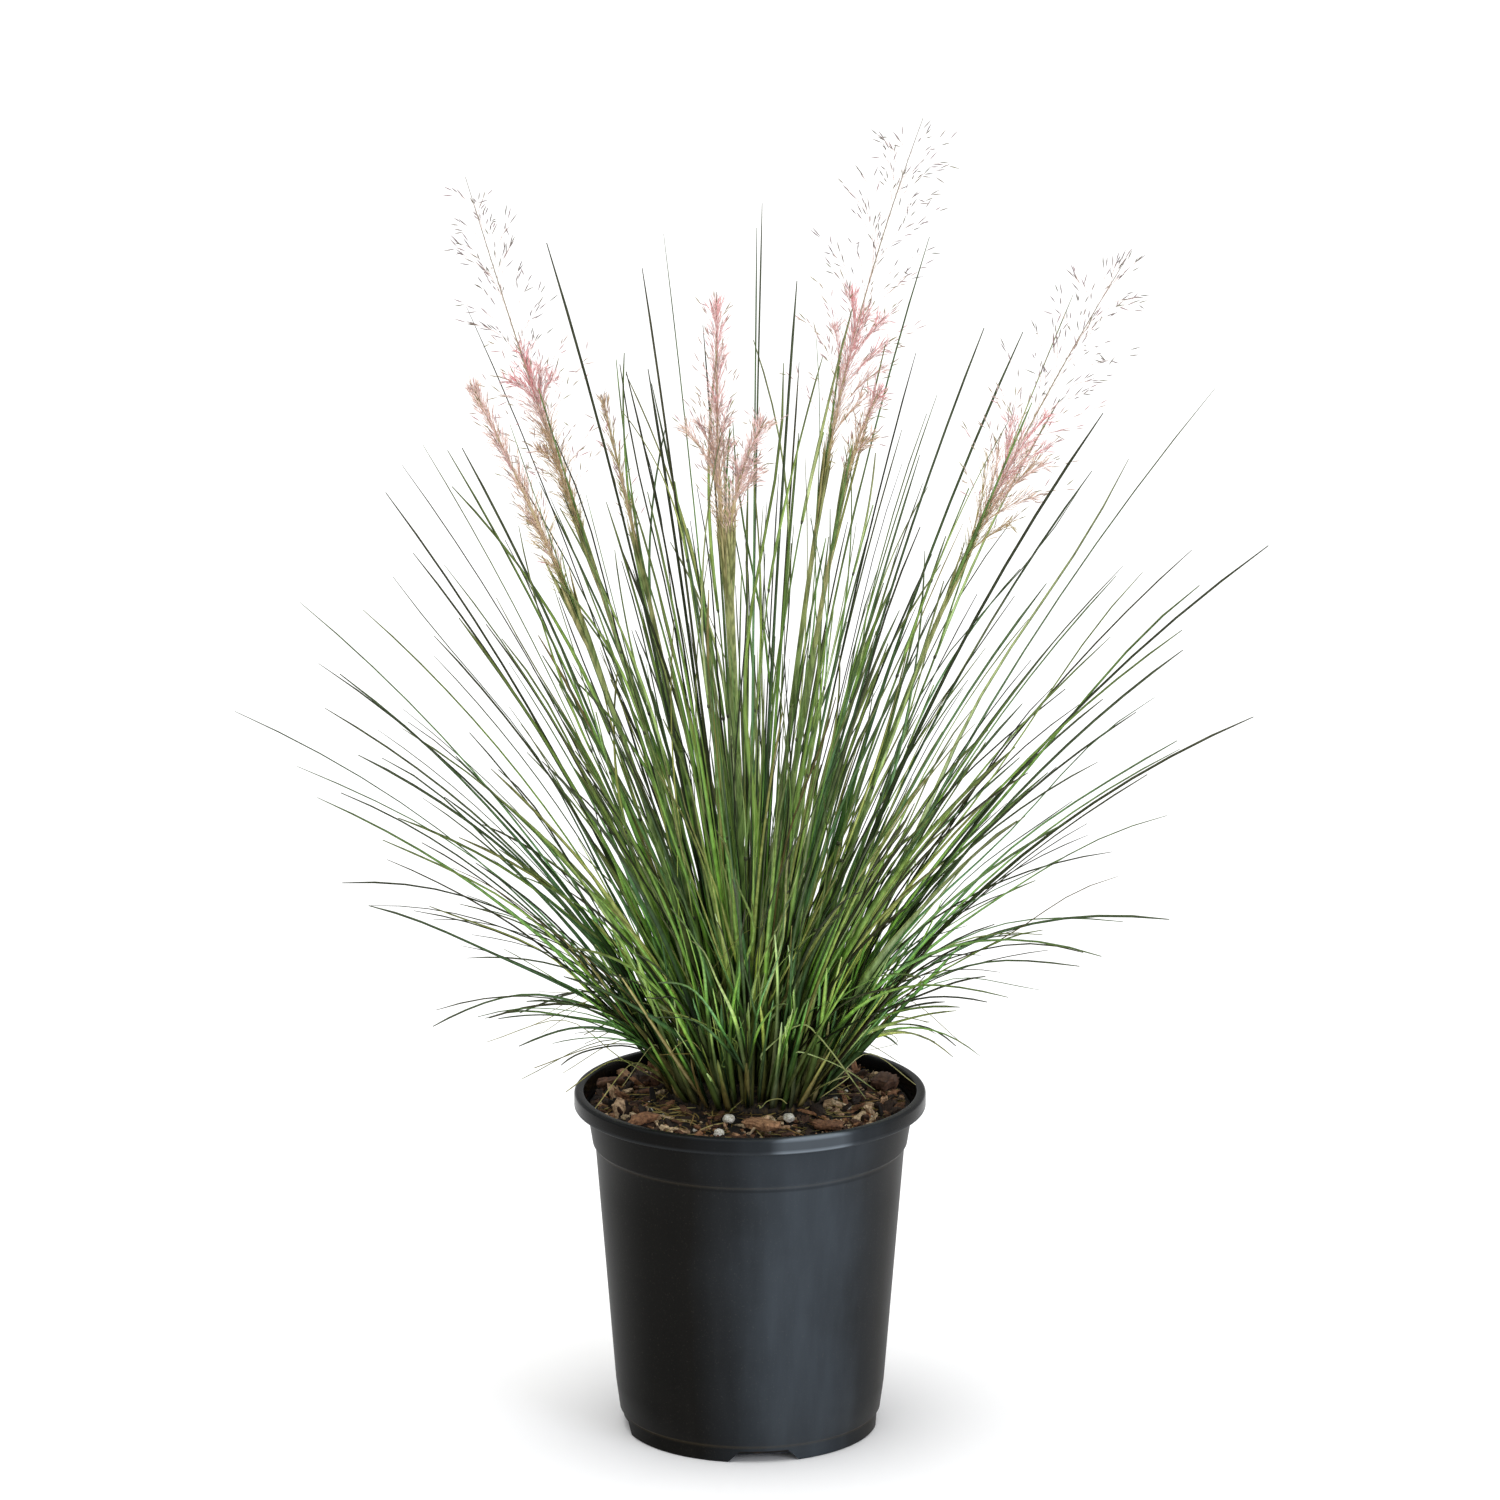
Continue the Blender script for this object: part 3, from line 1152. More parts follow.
def make_young_shoots():
    dice = random.Random(8)
    quarters = [Bundle() for _ in range(4)]
    for k in range(YOUNG_COUNT):
        azimuth = (k * GOLDEN_TURN + dice.gauss(0, 0.15)) % math.tau
        spread = math.sqrt((k + 0.5) / YOUNG_COUNT)
        lean = YOUNG_LEAN * spread * dice.uniform(0.75, 1.2)
        reach = dice.triangular(110, 500, 300) * (1.1 - 0.33 * spread) * MM
        outward = reach * math.sin(lean) + 0.03 * spread
        tip = (outward * math.cos(azimuth), outward * math.sin(azimuth),
               CROWN_TOP_Z + reach * math.cos(lean))
        arch = 0.02 + 0.1 * spread**2 + abs(dice.gauss(0, 0.03))
        width = dice.uniform(3.0, 4.8) * MM
        tone = min(max(dice.gauss(0.55, 0.22), 0.2), 1)
        grow_shoot(quarters[int(azimuth / (math.pi / 2)) % 4], tip, arch, dice, tone, width,
                   [(9, 3, 0.85), (-9, -3, 0.7)], 1, start_at=10 * MM, slant=dice.gauss(0, 11), wiry_share=0.25)
    for quarter, bundle in enumerate(quarters, 1):
        finish_piece(bundle.build(f"young_shoots_{quarter}", leaf))


make_young_shoots()

# %% [markdown]
# ## Lone leaves
#
# The outline of a muhly tuft is drawn by single wiry leaves, about a millimetre wide, that
# reach out of it one by one. The photo shows where each one ends, so its tip is given as a
# pixel and a depth, and its foot is worked out on the crown.

# %% Lone leaves
LONE_LEAVES = [  # the tip's pixel in the photo, depth in mm, arch
    (363, 610, 40, 0.12), (325, 708, -60, 0.14), (378, 730, 80, 0.14), (358, 755, 20, 0.17),
    (434, 636, -90, 0.10), (434, 656, 110, 0.12), (459, 618, -30, 0.08), (413, 553, 70, 0.09),
    (398, 818, -40, 0.2), (459, 904, 60, 0.25), (467, 958, -50, 0.32), (489, 1018, -60, 0.4),
    (402, 465, -70, 0.08), (423, 445, 90, 0.07), (462, 448, 30, 0.06), (642, 268, -60, 0.02),
    (648, 369, 70, 0.03), (762, 203, 20, 0.03), (797, 281, -50, 0.02), (799, 362, 90, 0.02),
    (799, 433, -80, 0.03), (916, 353, 60, 0.04), (937, 395, -60, 0.05), (984, 328, -40, 0.05),
    (1092, 471, 50, 0.09), (1123, 566, -100, 0.1), (1192, 550, 30, 0.11),
    (1182, 630, -70, 0.13), (1183, 650, 90, 0.13), (1058, 637, 130, 0.1),
    (1136, 712, -30, 0.14), (1103, 699, 120, 0.14), (1098, 762, -110, 0.16),
    (1088, 835, 60, 0.2), (1112, 852, -60, 0.26), (1008, 892, 100, 0.22),
    (1091, 916, -20, 0.28), (960, 1007, -60, 0.3), (945, 1002, 40, 0.28),
]
HIDDEN_LONE_COUNT = 46  # those that point to the camera or away from it


def make_lone_leaves():
    dice = random.Random(31)
    bundle = Bundle()
    tips = [(seen_at(px, py, depth * MM), arch) for px, py, depth, arch in LONE_LEAVES]
    for k in range(HIDDEN_LONE_COUNT):
        way = (math.pi / 2 if k % 2 else -math.pi / 2) + dice.uniform(-0.95, 0.95)
        lean = math.radians(dice.uniform(12, 58))
        reach = dice.uniform(190, 420) * (1.1 - 0.5 * lean) * MM
        outward = reach * math.sin(lean) + 0.03
        tips.append((Vector((outward * math.cos(way), outward * math.sin(way),
                             CROWN_TOP_Z + reach * math.cos(lean))), 0.05 + 0.2 * lean**2))
    for tip, arch in tips:
        line = bezier(route_from_crown(tip, arch), np.linspace(0, 1, LEAF_RINGS + 3))
        width = dice.uniform(1.8, 2.5) * MM
        bundle.strand(line, leaf_widths(width, LEAF_RINGS + 3, slim=0.8), LEAF_CUT,
                      tone=dice.choice((0.05, 0.1, 0.15, 0.4)), dry=dice.uniform(0, 0.15),
                      roll=dice.uniform(0, math.tau))
    finish_piece(bundle.build("lone_leaves", leaf))


make_lone_leaves()

# %% [markdown]
# ## Short leaves at the foot
#
# Round the foot the tuft is thickest: short new leaves, bright green, and stubs of old ones
# fill the room between the sheaths.

# %% Short leaves
SHORT_COUNT = 190
SHORT_LEAN = math.radians(42)


def make_short_leaves():
    dice = random.Random(99)
    bundle = Bundle()
    for k in range(SHORT_COUNT):
        azimuth = dice.uniform(0, math.tau)
        lean = SHORT_LEAN * math.sqrt(dice.random())
        foot, outward = crown_point(lean, azimuth)
        reach = dice.triangular(30, 180, 80) * MM
        side = np.cross(outward, (dice.gauss(0, 1), dice.gauss(0, 1), dice.gauss(0, 1)))
        bend = unit(side) * reach * dice.uniform(0, 0.16)
        end = foot + outward * reach + bend
        route = (foot, foot + outward * reach * 0.5, end)
        line = bezier(route, np.linspace(0, 1, 8))
        old = dice.random() < 0.12
        bundle.strand(line, leaf_widths(dice.uniform(2.0, 4.2) * MM, 8), LEAF_CUT,
                      tone=min(max(dice.gauss(0.5, 0.25), 0), 0.9),
                      dry=dice.uniform(0.4, 0.9) if old else dice.uniform(0, 0.1),
                      roll=dice.uniform(0, math.tau), along=(0, 0.38))
    finish_piece(bundle.build("short_leaves", leaf))


make_short_leaves()

# %% [markdown]
# ## Dry and curled leaves
#
# Some lower leaves have died back and hang over the front of the tuft in loose arcs, and
# some are kinked and rest on the mix. Their lines are hand-placed knots with a smooth line
# through them, after a first stretch that grows from the crown like any other leaf.

# %% Dry leaves
DRY_LEAVES = [  # depth of the first and last knot in mm, width in mm, dryness, pixel knots
    (-62, -95, 1.3, 0.55, [(764, 931), (750, 930), (736, 941), (711, 971)]),
    (-70, -90, 1.1, 0.4, [(750, 910), (734, 950), (717, 997)]),
    (-66, -120, 1.8, 0.1, [(724, 1059), (764, 986), (800, 944), (843, 915)]),
    (-70, -92, 1.5, 0.2, [(734, 1040), (695, 1020), (659, 1009)]),
    (-72, -78, 2.1, 0.2, [(764, 1052), (799, 1025), (822, 1040), (866, 1099)]),
    (-66, -74, 2.0, 0.2, [(797, 1052), (822, 1059), (846, 1070), (875, 1090)]),
    (-58, -66, 1.0, 0.5, [(850, 1076), (836, 1087), (820, 1098)]),
    (-70, -84, 1.3, 0.9, [(696, 1055), (680, 1054), (659, 1055)]),
    (-68, -80, 1.2, 0.8, [(694, 1043), (685, 1041), (675, 1048), (670, 1056)]),
    (-76, -84, 1.2, 0.6, [(761, 1108), (768, 1101), (780, 1099), (787, 1104)]),
    (-78, -84, 1.4, 0.7, [(730, 1112), (736, 1106), (743, 1100)]),
    (-60, -110, 1.4, 0.0, [(814, 1009), (840, 1000), (868, 994)]),
    (-20, -30, 1.0, 0.1, [(868, 1034), (884, 1033), (894, 1036), (897, 1043), (880, 1048),
                          (857, 1052)]),
]


def make_dry_leaves():
    dice = random.Random(41)
    bundle = Bundle()
    for first, last, width, dryness, pixels in DRY_LEAVES:
        depths = np.linspace(first, last, len(pixels))
        knots = [seen_at(px, py, depth * MM) for (px, py), depth in zip(pixels, depths)]
        hidden = bezier(route_from_crown(knots[0], 0.12), (0, 0.35, 0.7))
        line = smooth_line([*hidden, *knots], 26)
        widths = leaf_widths(width * MM, 26, 0.4 * MM)
        bundle.strand(line, widths, LEAF_CUT, tone=dice.uniform(0.3, 0.75), dry=dryness,
                      roll=dice.uniform(0, math.tau), along=(0.1, 0.85))
    for _ in range(26):  # more of them at the sides and the back
        azimuth = dice.uniform(-0.6, math.pi + 0.6)
        root, outward = crown_point(math.radians(dice.uniform(25, 60)), azimuth)
        radial = np.array((math.cos(azimuth), math.sin(azimuth), 0))
        side = np.array((-radial[1], radial[0], 0)) * dice.gauss(0, 0.03)
        reach = dice.uniform(0.03, 0.08)
        over = root + outward * reach + side
        fall = over + radial * reach * 0.6 + side - UP * reach * dice.uniform(0.1, 0.5)
        line = smooth_line([root, root + outward * reach * 0.5, over, fall], 16)
        bundle.strand(line, leaf_widths(dice.uniform(0.9, 1.5) * MM, 16), LEAF_CUT,
                      tone=dice.uniform(0.3, 0.75), dry=dice.uniform(0.3, 0.9),
                      roll=dice.uniform(0, math.tau), along=(0.1, 0.85))
    finish_piece(bundle.build("dry_leaves", leaf))


make_dry_leaves()

# %% [markdown]
# ## Flower stems
#
# Eight culms carry this year's panicles. A culm is a round hollow stem with joints, and from
# each joint a leaf sheath wraps it for a hand's breadth and then opens into a narrow blade.
# Stem and sheath together look like one thick olive stalk.

# %% Flower stems
FLOWER_STEMS = [  # foot and tip of the panicle, its branches, their reach and angle
    ((-100, 20, 558), (-174, 40, 788), 17, 46, 38),
    ((-106, -60, 539), (-167, -100, 688), 7, 26, 16),
    ((-68, 90, 533), (-93, 120, 637), 6, 20, 12),
    ((-16, -50, 568), (-20, -65, 736), 10, 34, 22),
    ((-12, -105, 581), (10, -150, 677), 7, 28, 22),
    ((45, 60, 589), (107, 95, 816), 18, 58, 40),
    ((55, -70, 609), (78, -110, 686), 6, 22, 16),
    ((127, -10, 550), (227, -30, 750), 18, 60, 38),
]
CULM_ARCH = 0.04
CULM_FOOT_W = 3.8 * MM
CULM_TOP_W = 2.4 * MM
CULM_NODES = (0.3, 0.62)
CULM_RINGS = 33


def culm_material():
    material, shader = new_material("culm with its sheaths", "#7d8a48", 0.5)
    shader.inputs["IOR"].default_value = 1.42
    marks = add_node(material, "Attribute", attribute_name="marks")
    along, tone, dry = add_node(material, "SeparateColor", {0: marks.outputs["Color"]}).outputs
    place = add_node(material, "TexCoord").outputs["Object"]
    drawn = add_node(material, "Mapping", {"Vector": place, "Scale": (1, 1, 0.03)})
    lines = add_node(material, "TexNoise", {"Vector": drawn.outputs[0], "Scale": 450,
                                            "Detail": 3})
    body = add_node(material, "ValToRGB", {0: along},
                    stops=[(0.0, "#4c5a26"), (0.35, "#5f8538"), (0.7, "#7c9a50"),
                           (0.88, "#a0a768"), (1.0, "#c8bf8c")])
    fine = add_node(material, "ValToRGB", {0: lines.outputs[0]},
                    stops=[(0.38, "#8f9a7c"), (0.6, "#ffffff")])
    shaded = blended(material, dry, body.outputs[0], "#c4b27c")
    shaded = blended(material, 0.85, shaded, fine.outputs[0], "MULTIPLY")
    rosy = add_node(material, "MapRange", {"Value": tone, "From Min": 0.7, "From Max": 1.0,
                                           "To Max": 0.14})
    shaded = blended(material, rosy.outputs[0], shaded, "#a5705c")
    joint = add_node(material, "MapRange", {"Value": tone, "From Min": 0.08, "From Max": 0.0,
                                            "To Max": 0.85})
    connect(material, blended(material, joint.outputs[0], shaded, "#2c2a1a"), shader,
            "Base Color")
    bumped(material, shader, lines.outputs[0], 0.15 * MM)
    return material


def make_stem(i, foot, dice, material):
    bundle = Bundle()
    route = route_from_crown(np.array(foot) * MM, CULM_ARCH)
    shares = np.linspace(0, 1, CULM_RINGS)
    widths = CULM_FOOT_W + (CULM_TOP_W - CULM_FOOT_W) * shares
    near = [min(abs(share - node) for node in CULM_NODES) for share in shares]
    widths[np.array(near) < 0.02] *= 1.35
    bundle.strand(bezier(route, shares), widths, STEM_CUT, tone=dice.uniform(0.3, 0.8),
                  dry=0.05)
    length = 2 * np.linalg.norm(route[1] - route[0])
    for node in (0.04, *CULM_NODES, 0.72):
        reach = dice.uniform(70, 110) * MM / length
        wrap = np.linspace(node, min(node + reach, 0.985), 9)
        base = np.interp(wrap, shares, widths)
        grown = base * np.interp(np.linspace(0, 1, 9), (0, 0.12, 0.8, 1), (1.05, 1.25, 1.2, 1.0))
        bundle.strand(bezier(route, wrap), grown, STEM_CUT, tone=dice.uniform(0.2, 0.9),
                      dry=dice.uniform(0.0, 0.15), along=(node, node + 0.25))
        blade_foot = bezier(route, [wrap[-2]])[0]
        ahead = unit(bezier(route, [wrap[-1] + 0.01])[0] - blade_foot)
        aside = unit(np.cross(ahead, (dice.gauss(0, 1), dice.gauss(0, 1), 0.2)))
        reach = dice.uniform(90, 190) * MM * (1 if node < 0.7 else 0.6)
        angle = math.radians(dice.uniform(2, 9))
        end = blade_foot + reach * (math.cos(angle) * ahead + math.sin(angle) * aside)
        pull = blade_foot + ahead * reach * 0.5 + aside * reach * 0.02
        bundle.strand(bezier((blade_foot, pull, end), np.linspace(0, 1, 11)),
                      leaf_widths(dice.uniform(1.6, 2.4) * MM, 11), LEAF_CUT,
                      tone=dice.uniform(0.2, 0.6), dry=dice.uniform(0, 0.1),
                      roll=dice.uniform(0, math.tau), along=(0.3, 0.6))
    finish_piece(bundle.build(f"flower_stem_{i}", material), [f"culm_{i}"])
    return route


# %% [markdown]
# ### Jointed stems without flowers
#
# More stems stand in the tuft that haven't flowered. Each has two or three dark joints, bends
# a little at every one of them and sends out a leaf there, so the middle of the tuft is
# dotted with joints and its lines cross.

# %% Jointed stems
JOINTED_COUNT = 24
JOINTED_LEAN = math.radians(25)


def make_jointed_stems(material):
    dice = random.Random(52)
    stems, leaves = Bundle(), Bundle()
    for k in range(JOINTED_COUNT):
        azimuth = k * GOLDEN_TURN + 1.0
        lean = JOINTED_LEAN * math.sqrt((k + 0.5) / JOINTED_COUNT)
        reach = dice.uniform(210, 400) * MM
        outward = reach * math.sin(lean) + 0.02
        tip = (outward * math.cos(azimuth), outward * math.sin(azimuth),
               CROWN_TOP_Z + reach * math.cos(lean))
        shares = np.linspace(0, 1, 25)
        line = bezier(route_from_crown(tip, 0.04), shares)
        joints = [dice.uniform(0.38, 0.5), dice.uniform(0.62, 0.72), dice.uniform(0.82, 0.9)]
        for joint in joints:
            kink = np.array([dice.gauss(0, 0.06), dice.gauss(0, 0.06), 0])
            line = line + np.maximum(shares - joint, 0)[:, None] * reach * kink
        widths = np.interp(shares, (0, 0.6, 1), (2.6, 1.5, 0.8)) * MM
        tone = dice.uniform(0.15, 0.8)
        stems.strand(line, widths, STEM_CUT, tone=tone, dry=dice.uniform(0, 0.1),
                     along=(0.1, 0.7))
        for joint in joints:
            k_low = int(joint * 24)
            at = line[k_low] + (joint * 24 - k_low) * (line[k_low + 1] - line[k_low])
            ahead = unit(line[k_low + 1] - line[k_low])
            wide = np.interp(joint, shares, widths)
            ring = at + np.linspace(-1.3, 1.3, 4)[:, None] * MM * ahead
            stems.strand(ring, wide * np.array([1.1, 1.55, 1.55, 1.1]), STEM_CUT, tone=0)
            angle = math.radians(dice.uniform(5, 16))
            length = dice.uniform(80, 190) * MM
            end = at + length * scattered(ahead, angle, dice)
            leaves.strand(bezier((at, at + 0.5 * length * ahead, end), np.linspace(0, 1, 10)),
                          leaf_widths(dice.uniform(1.6, 2.6) * MM, 10), LEAF_CUT,
                          tone=dice.uniform(0.15, 0.9), dry=dice.uniform(0, 0.15),
                          roll=dice.uniform(0, math.tau), along=(0.3, 1))
    finish_piece(stems.build("jointed_stems", material))
    finish_piece(leaves.build("joint_leaves", leaf))


def scattered(way, angle, dice):
    """A way that leaves another by this angle in radians, to a random side."""
    aside = np.cross(way, (dice.gauss(0, 1), dice.gauss(0, 1), dice.gauss(0, 1)))
    return unit(math.cos(angle) * way + math.sin(angle) * unit(aside))


# %% [markdown]
# ## Panicles
#
# The pink haze is made of panicles: a thin axis with hair-fine branches, and at the end of
# each hair a spikelet like a thin grain, a few millimetres long. Where the branches still lie
# close together they look like pink plush, tan towards the foot. Where they have opened, the
# hairs are too thin to see, and dark spikelets float round the axis.
#
# So a panicle has three parts: the axis, the plush along it and along its lower branches, and
# the open branches that fork into hairs.

# %% Panicle material


def panicle_material():
    material, shader = new_material("muhly panicle", "#e0a9a2", 0.75)
    marks = add_node(material, "Attribute", attribute_name="marks")
    along, tone, dark = add_node(material, "SeparateColor",
                                 {0: marks.outputs["Color"]}).outputs
    place = add_node(material, "TexCoord").outputs["Object"]
    mottle = add_node(material, "TexNoise", {"Vector": place, "Scale": 350, "Detail": 3})
    plush = add_node(material, "ValToRGB", {0: tone},
                     stops=[(0.0, "#b2b060"), (0.25, "#dcc498"), (0.5, "#f6d9c6"),
                            (0.75, "#ffe2de"), (1.0, "#ffb4b8")])
    grain = add_node(material, "ValToRGB", {0: tone},
                     stops=[(0.0, "#75756a"), (0.5, "#777074"), (1.0, "#8c7e82")])
    body = blended(material, dark, plush.outputs[0], grain.outputs[0])
    patches = add_node(material, "ValToRGB", {0: mottle.outputs[0]},
                       stops=[(0.35, "#d8cbc4"), (0.6, "#ffffff")])
    connect(material, blended(material, 0.8, body, patches.outputs[0], "MULTIPLY"), shader,
            "Base Color")
    return material


# %% Panicle parts
PANICLE_LOOKS = [  # plush branchlets, the share where they end, four half widths in mm, four
    # tones from olive over tan to pink, forks of an open branch
    (340, 0.46, (3.5, 7.5, 7.5, 8), (0.08, 0.28, 0.4, 1.0), 4),
    (300, 0.97, (5, 8, 5, 2), (0.1, 0.35, 0.6, 0.62), 2),
    (90, 0.97, (2, 3, 2.5, 1.5), (0.0, 0.05, 0.15, 0.4), 2),
    (330, 0.92, (3, 7, 5.5, 4), (0.12, 0.5, 0.8, 0.85), 2),
    (180, 0.93, (3, 5, 5, 4), (0.2, 0.55, 0.7, 0.7), 2),
    (155, 0.44, (3, 5.5, 6.5, 6), (0.1, 0.45, 0.78, 0.86), 4),
    (110, 0.93, (2.5, 4, 4, 4), (0.05, 0.25, 0.65, 0.9), 2),
    (160, 0.42, (3, 6, 8, 8.5), (0.0, 0.35, 0.78, 0.84), 4),
]
SPRAYS = [  # side branches with plush: share on the axis, length in mm, lean to the right
    [(0.40, 32, 42), (0.38, 38, 18), (0.42, 26, -34), (0.44, 36, 2), (0.22, 24, -26)],
    [(0.3, 24, -12)],
    [],
    [(0.28, 54, -24), (0.33, 42, -17), (0.30, 34, 13), (0.40, 30, 11), (0.22, 40, -9)],
    [(0.50, 30, 16), (0.38, 28, 24), (0.45, 24, -8)],
    [(0.14, 38, 30), (0.20, 48, 34), (0.27, 46, 32), (0.36, 38, 8), (0.25, 52, -16),
     (0.34, 44, 26), (0.42, 34, -20)],
    [(0.35, 20, 22)],
    [(0.04, 72, -8), (0.07, 80, 9), (0.11, 70, 16), (0.16, 60, -13), (0.19, 60, 21),
     (0.27, 48, 27), (0.30, 46, -17), (0.05, 42, 28), (0.15, 44, 36), (0.36, 42, 12)],
]
SPRAY_PLUSH = 27
SPIKELET_LENGTH = 7 * MM
SPIKELET_WIDTH = 0.8 * MM
BOOT_WIDTHS = (5.5, 10, 5, 6.5, 7, 6, 5, 6)  # mm
BOOT_DRYNESS = (0.7, 1.0, 0.4, 0.9, 0.7, 0.8, 0.5, 0.5)
BOOT_LENGTH = 46 * MM


def add_spikelet(bundle, foot, way, dice, tone, dark, size=1.0):
    length = SPIKELET_LENGTH * dice.uniform(0.75, 1.2)
    line = foot + np.linspace(0, length, 5)[:, None] * way
    widths = SPIKELET_WIDTH * size * np.array([0.2, 0.8, 1, 0.6, 0.12])
    bundle.strand(line, widths, HAIR_CUT, tone=tone, dry=dark)


def add_plush(bundle, route, look, dice):
    """Branchlets that lean on a line, each a hair with two spikelets."""
    count, last, half_widths, tones, _ = look
    for _ in range(count):
        part = dice.random() ** 0.9
        root, beyond = bezier(route, [part * last, part * last + 0.02])
        ahead = unit(beyond - root)
        out = unit(np.cross(ahead, (dice.gauss(0, 1), dice.gauss(0, 1), dice.gauss(0, 1))))
        room = max(np.linalg.norm(route[2] - root) - SPIKELET_LENGTH, 3 * MM)
        forth = min(dice.uniform(9, 19) * MM, room)
        aside = np.interp(3 * part, range(4), half_widths) * MM * dice.uniform(0.2, 1.15)
        pull = root + 0.55 * forth * ahead + 0.2 * aside * out
        end = root + forth * ahead + aside * out
        tone = np.interp(3 * part, range(4), tones) + dice.gauss(0, 0.09)
        tone = min(max(tone, 0), 1)
        line = bezier((root, pull, end), (0, 0.35, 0.7, 1))
        bundle.strand(line, np.array([0.34, 0.3, 0.24, 0.18]) * MM, HAIR_CUT, tone=tone)
        for foot in line[2:]:
            dark = dice.uniform(0.4, 0.9) if dice.random() < 0.15 else 0.0
            way = scattered(unit(end - pull), math.radians(dice.uniform(3, 18)), dice)
            add_spikelet(bundle, foot, way, dice, tone, dark, 0.58)


def add_boot(bundle, culm, width, dryness, dice):
    """The open top of the last sheath: pointed blades round the foot of the panicle."""
    ahead = unit(culm[2] - culm[1])
    right = unit(np.cross((0, 1, 0), ahead))
    for k in range(7):
        low = -dice.uniform(0.2, 1.3) * BOOT_LENGTH
        high = dice.uniform(0.3, 1.0) * BOOT_LENGTH
        aside = (k / 6 - 0.5) * 0.6 * width * MM
        toward = np.array((0, -1.2 * MM * (1 + k % 2), 0))
        foot = culm[2] + low * ahead
        end = culm[2] + high * ahead + right * aside * dice.uniform(1, 2.4) + toward
        middle = culm[2] + right * aside + toward
        bundle.strand(bezier((foot, middle, end), np.linspace(0, 1, 9)),
                      0.34 * width * MM * np.array([0.5, 0.7, 0.9, 1, 0.95, 0.8, 0.6, 0.4, 0.15]),
                      LEAF_CUT, tone=dice.uniform(0.1, 0.95), dry=dryness * dice.uniform(0.1, 1),
                      face=(0, -1, 0), roll=dice.gauss(0, 0.5), along=(0.65, 1.0))


def add_spray(bundle, route, row, look, dice):
    """A side branch with its own plush, in the upright plane that faces the camera."""
    share, length, lean = row
    root, beyond = bezier(route, [share, share + 0.02])
    ahead = unit(beyond - root)
    right = unit(np.cross((0, 1, 0), ahead))
    way = math.radians(lean)
    out = unit(math.cos(way) * ahead + math.sin(way) * right + (0, dice.gauss(0, 0.2), 0))
    end = root + length * MM * out
    branch = (root, root + 0.5 * length * MM * unit(ahead + out), end)
    part = min(share / look[1], 1)
    own = np.interp(3 * part, range(4), look[3])
    tones = (own, own + 0.05, own + 0.1, own + 0.1)
    add_plush(bundle, branch, (SPRAY_PLUSH, 0.9, (1.5, 3, 3.5, 2.5), tones, 0), dice)
    add_branch(bundle, branch, 5, 0.6, dice)


def add_branch(bundle, branch, forks, dark, dice):
    """A hair that leaves the axis and forks into finer ones, each with a spikelet."""
    bundle.strand(bezier(branch, np.linspace(0, 1, 6)), np.linspace(0.26, 0.15, 6) * MM,
                  HAIR_CUT, tone=0.6, dry=0.2)
    for j in range(forks):
        place = min(0.4 + 0.6 * (j + dice.random()) / forks, 0.98)
        knot, beyond = bezier(branch, [place, place + 0.02])
        way = scattered(unit(beyond - knot), math.radians(dice.uniform(8, 45)), dice)
        line = knot + np.linspace(0, dice.uniform(2, 10) * MM, 3)[:, None] * way
        bundle.strand(line, np.array([0.16, 0.15, 0.14]) * MM, HAIR_CUT, tone=0.6, dry=0.2)
        way = scattered(way, math.radians(dice.uniform(0, 25)), dice)
        add_spikelet(bundle, line[-1], way, dice, dice.random(), dark * dice.uniform(0.85, 1.1))
    add_spikelet(bundle, branch[2], unit(branch[2] - branch[1]), dice, dice.random(), dark)


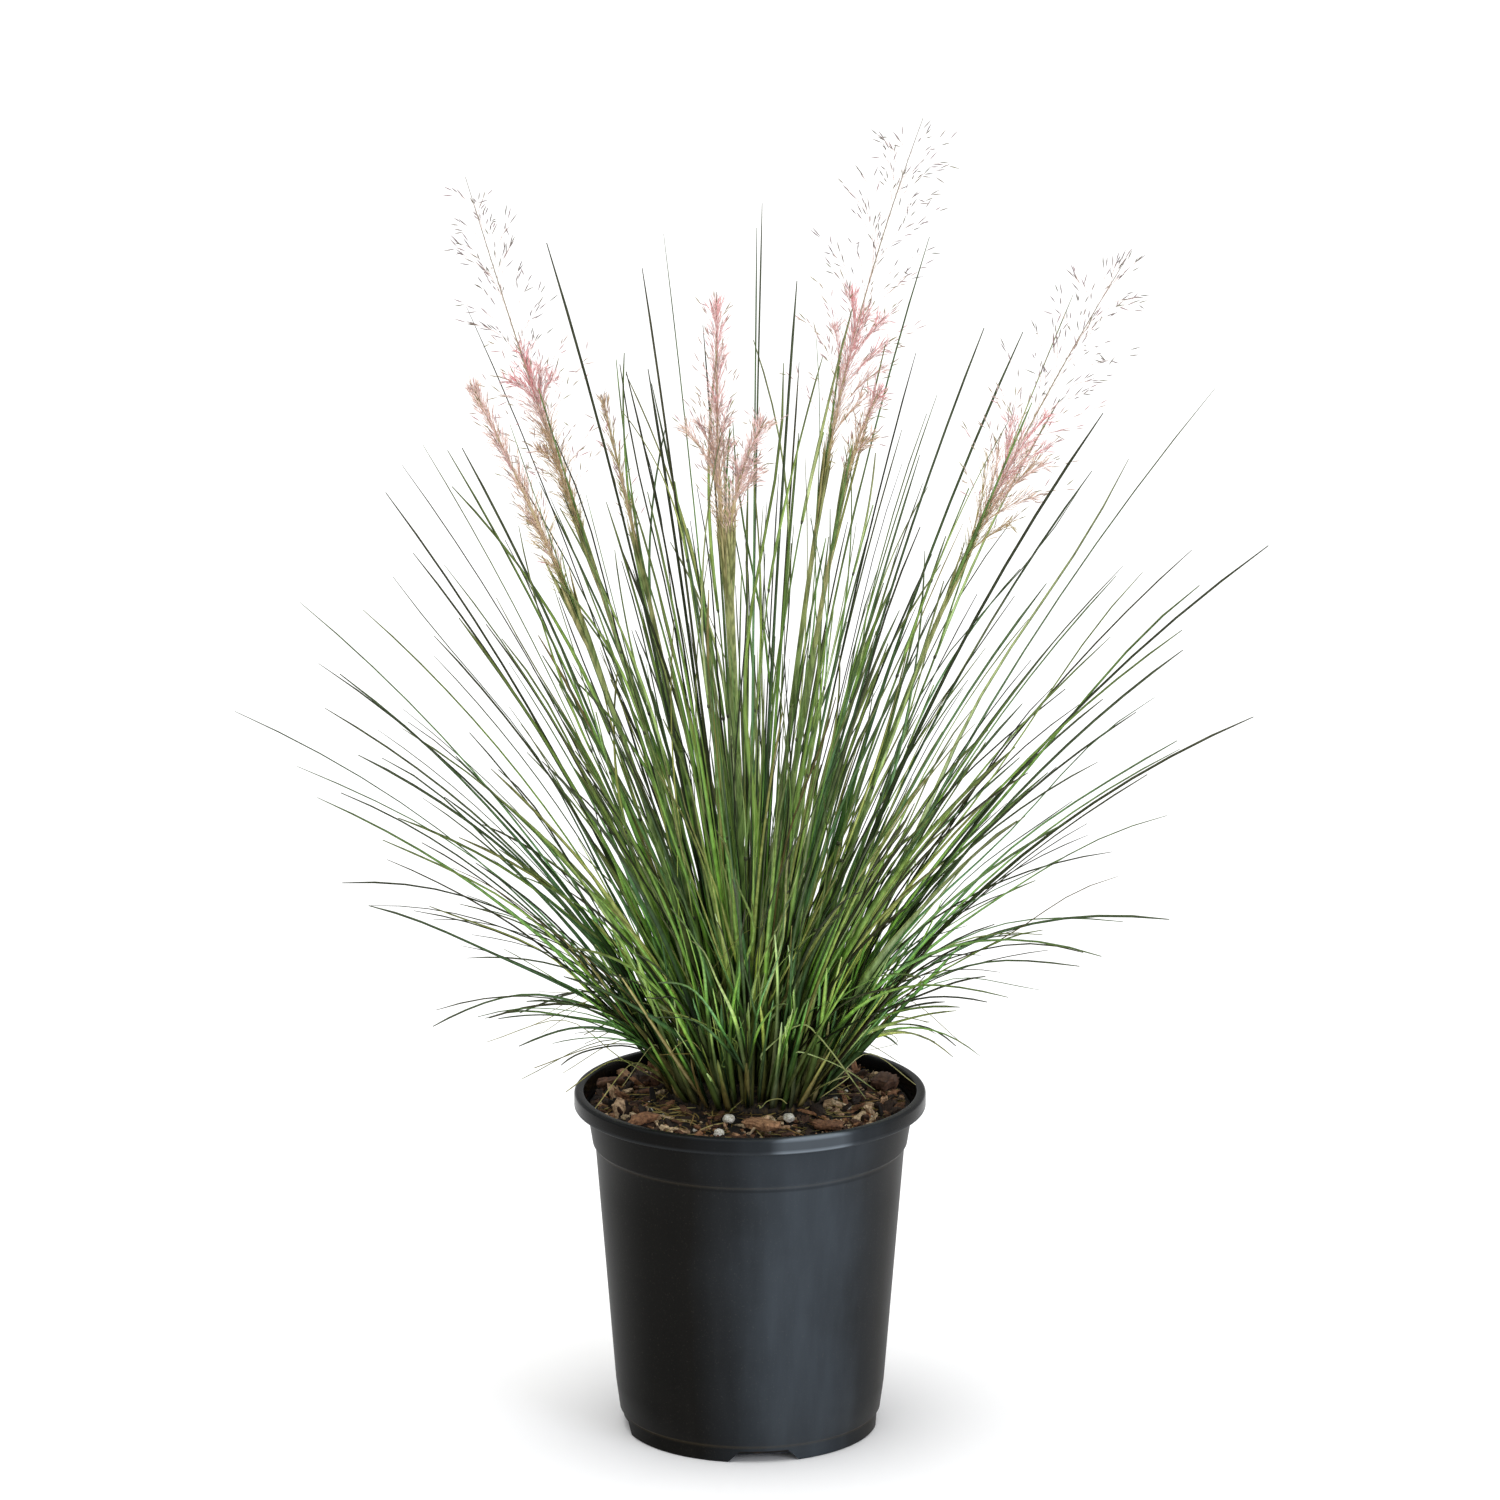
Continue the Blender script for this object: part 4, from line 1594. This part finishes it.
def make_panicle(i, row, look, sprays, culm, dice, material):
    _, tip, count, reach, spread = row
    plush_end, forks = look[1], look[4]
    bundle = Bundle()
    way = unit(culm[2] - culm[1])
    first = culm[2] + way * 2 * GAP
    tip = np.array(tip) * MM
    route = (first, first + way * np.linalg.norm(tip - first) * 0.45, tip)
    axis = np.interp(np.linspace(0, 1, 16), (0, plush_end, 1), (2.6, 1.0, 0.4)) * MM
    grey = np.interp(np.linspace(0, 1, 16), (0, plush_end, 1), (0.0, 0.5, 0.9))
    bundle.strand(bezier(route, np.linspace(0, 1, 16)), axis, STEM_CUT, tone=0.2, dry=grey)
    add_plush(bundle, route, look, dice)
    for spray in sprays:
        add_spray(bundle, route, spray, look, dice)
    across = unit(np.cross(way, (0, 1, 0)))
    for k in range(count * 3):  # every third branch is one of the fixed model's
        share = 0.12 + 0.8 * k / 3 / count
        root, beyond = bezier(route, [share, share + 0.05])
        ahead = unit(beyond - root)
        turn = Matrix.Rotation(i + k / 3 * GOLDEN_TURN + (k % 3) * 1.9, 3, Vector(ahead))
        out = np.array(turn) @ across
        out = unit(out - ahead * out.dot(ahead))
        angle = math.radians(spread)
        length = reach * MM * (0.45 + 0.55 * math.sin(math.pi * min(1, share + 0.12)))
        if k % 3:
            length *= dice.uniform(0.5, 1.0)
            angle *= dice.uniform(0.6, 1.35)
        end = root + length * (math.cos(angle) * ahead + math.sin(angle) * out)
        branch = (root, root + length * 0.5 * unit(ahead + 1.2 * unit(end - root)), end)
        dark = 0.9 if share > plush_end else 0.5
        add_branch(bundle, branch, forks, dark, dice)
    finish_piece(bundle.build(f"open_panicle_{i}", material), [f"panicle_{i}"])


dice = random.Random(17)
culm_green, panicle_pink = culm_material(), panicle_material()
make_jointed_stems(culm_green)
for i, (row, look, sprays) in enumerate(zip(FLOWER_STEMS, PANICLE_LOOKS, SPRAYS), 1):
    culm = make_stem(i, row[0], dice, culm_green)
    boot = Bundle()
    add_boot(boot, culm, BOOT_WIDTHS[i - 1], BOOT_DRYNESS[i - 1], dice)
    finish_piece(boot.build(f"boot_{i}", culm_green))
    make_panicle(i, row, look, sprays, culm, dice, panicle_pink)

# %% [markdown]
# ## Sizes
#
# The box of the fixed model and the box of the finished plant are written side by side, so
# that a leaf that has grown too far shows up at once.

# %% Write the sizes and finish
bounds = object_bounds()
for name, cad, seen in zip(("low", "high"), CAD_BOX, bounds):
    print(name, [round(1000 * c, 1) for c in cad], [round(1000 * c, 1) for c in seen])
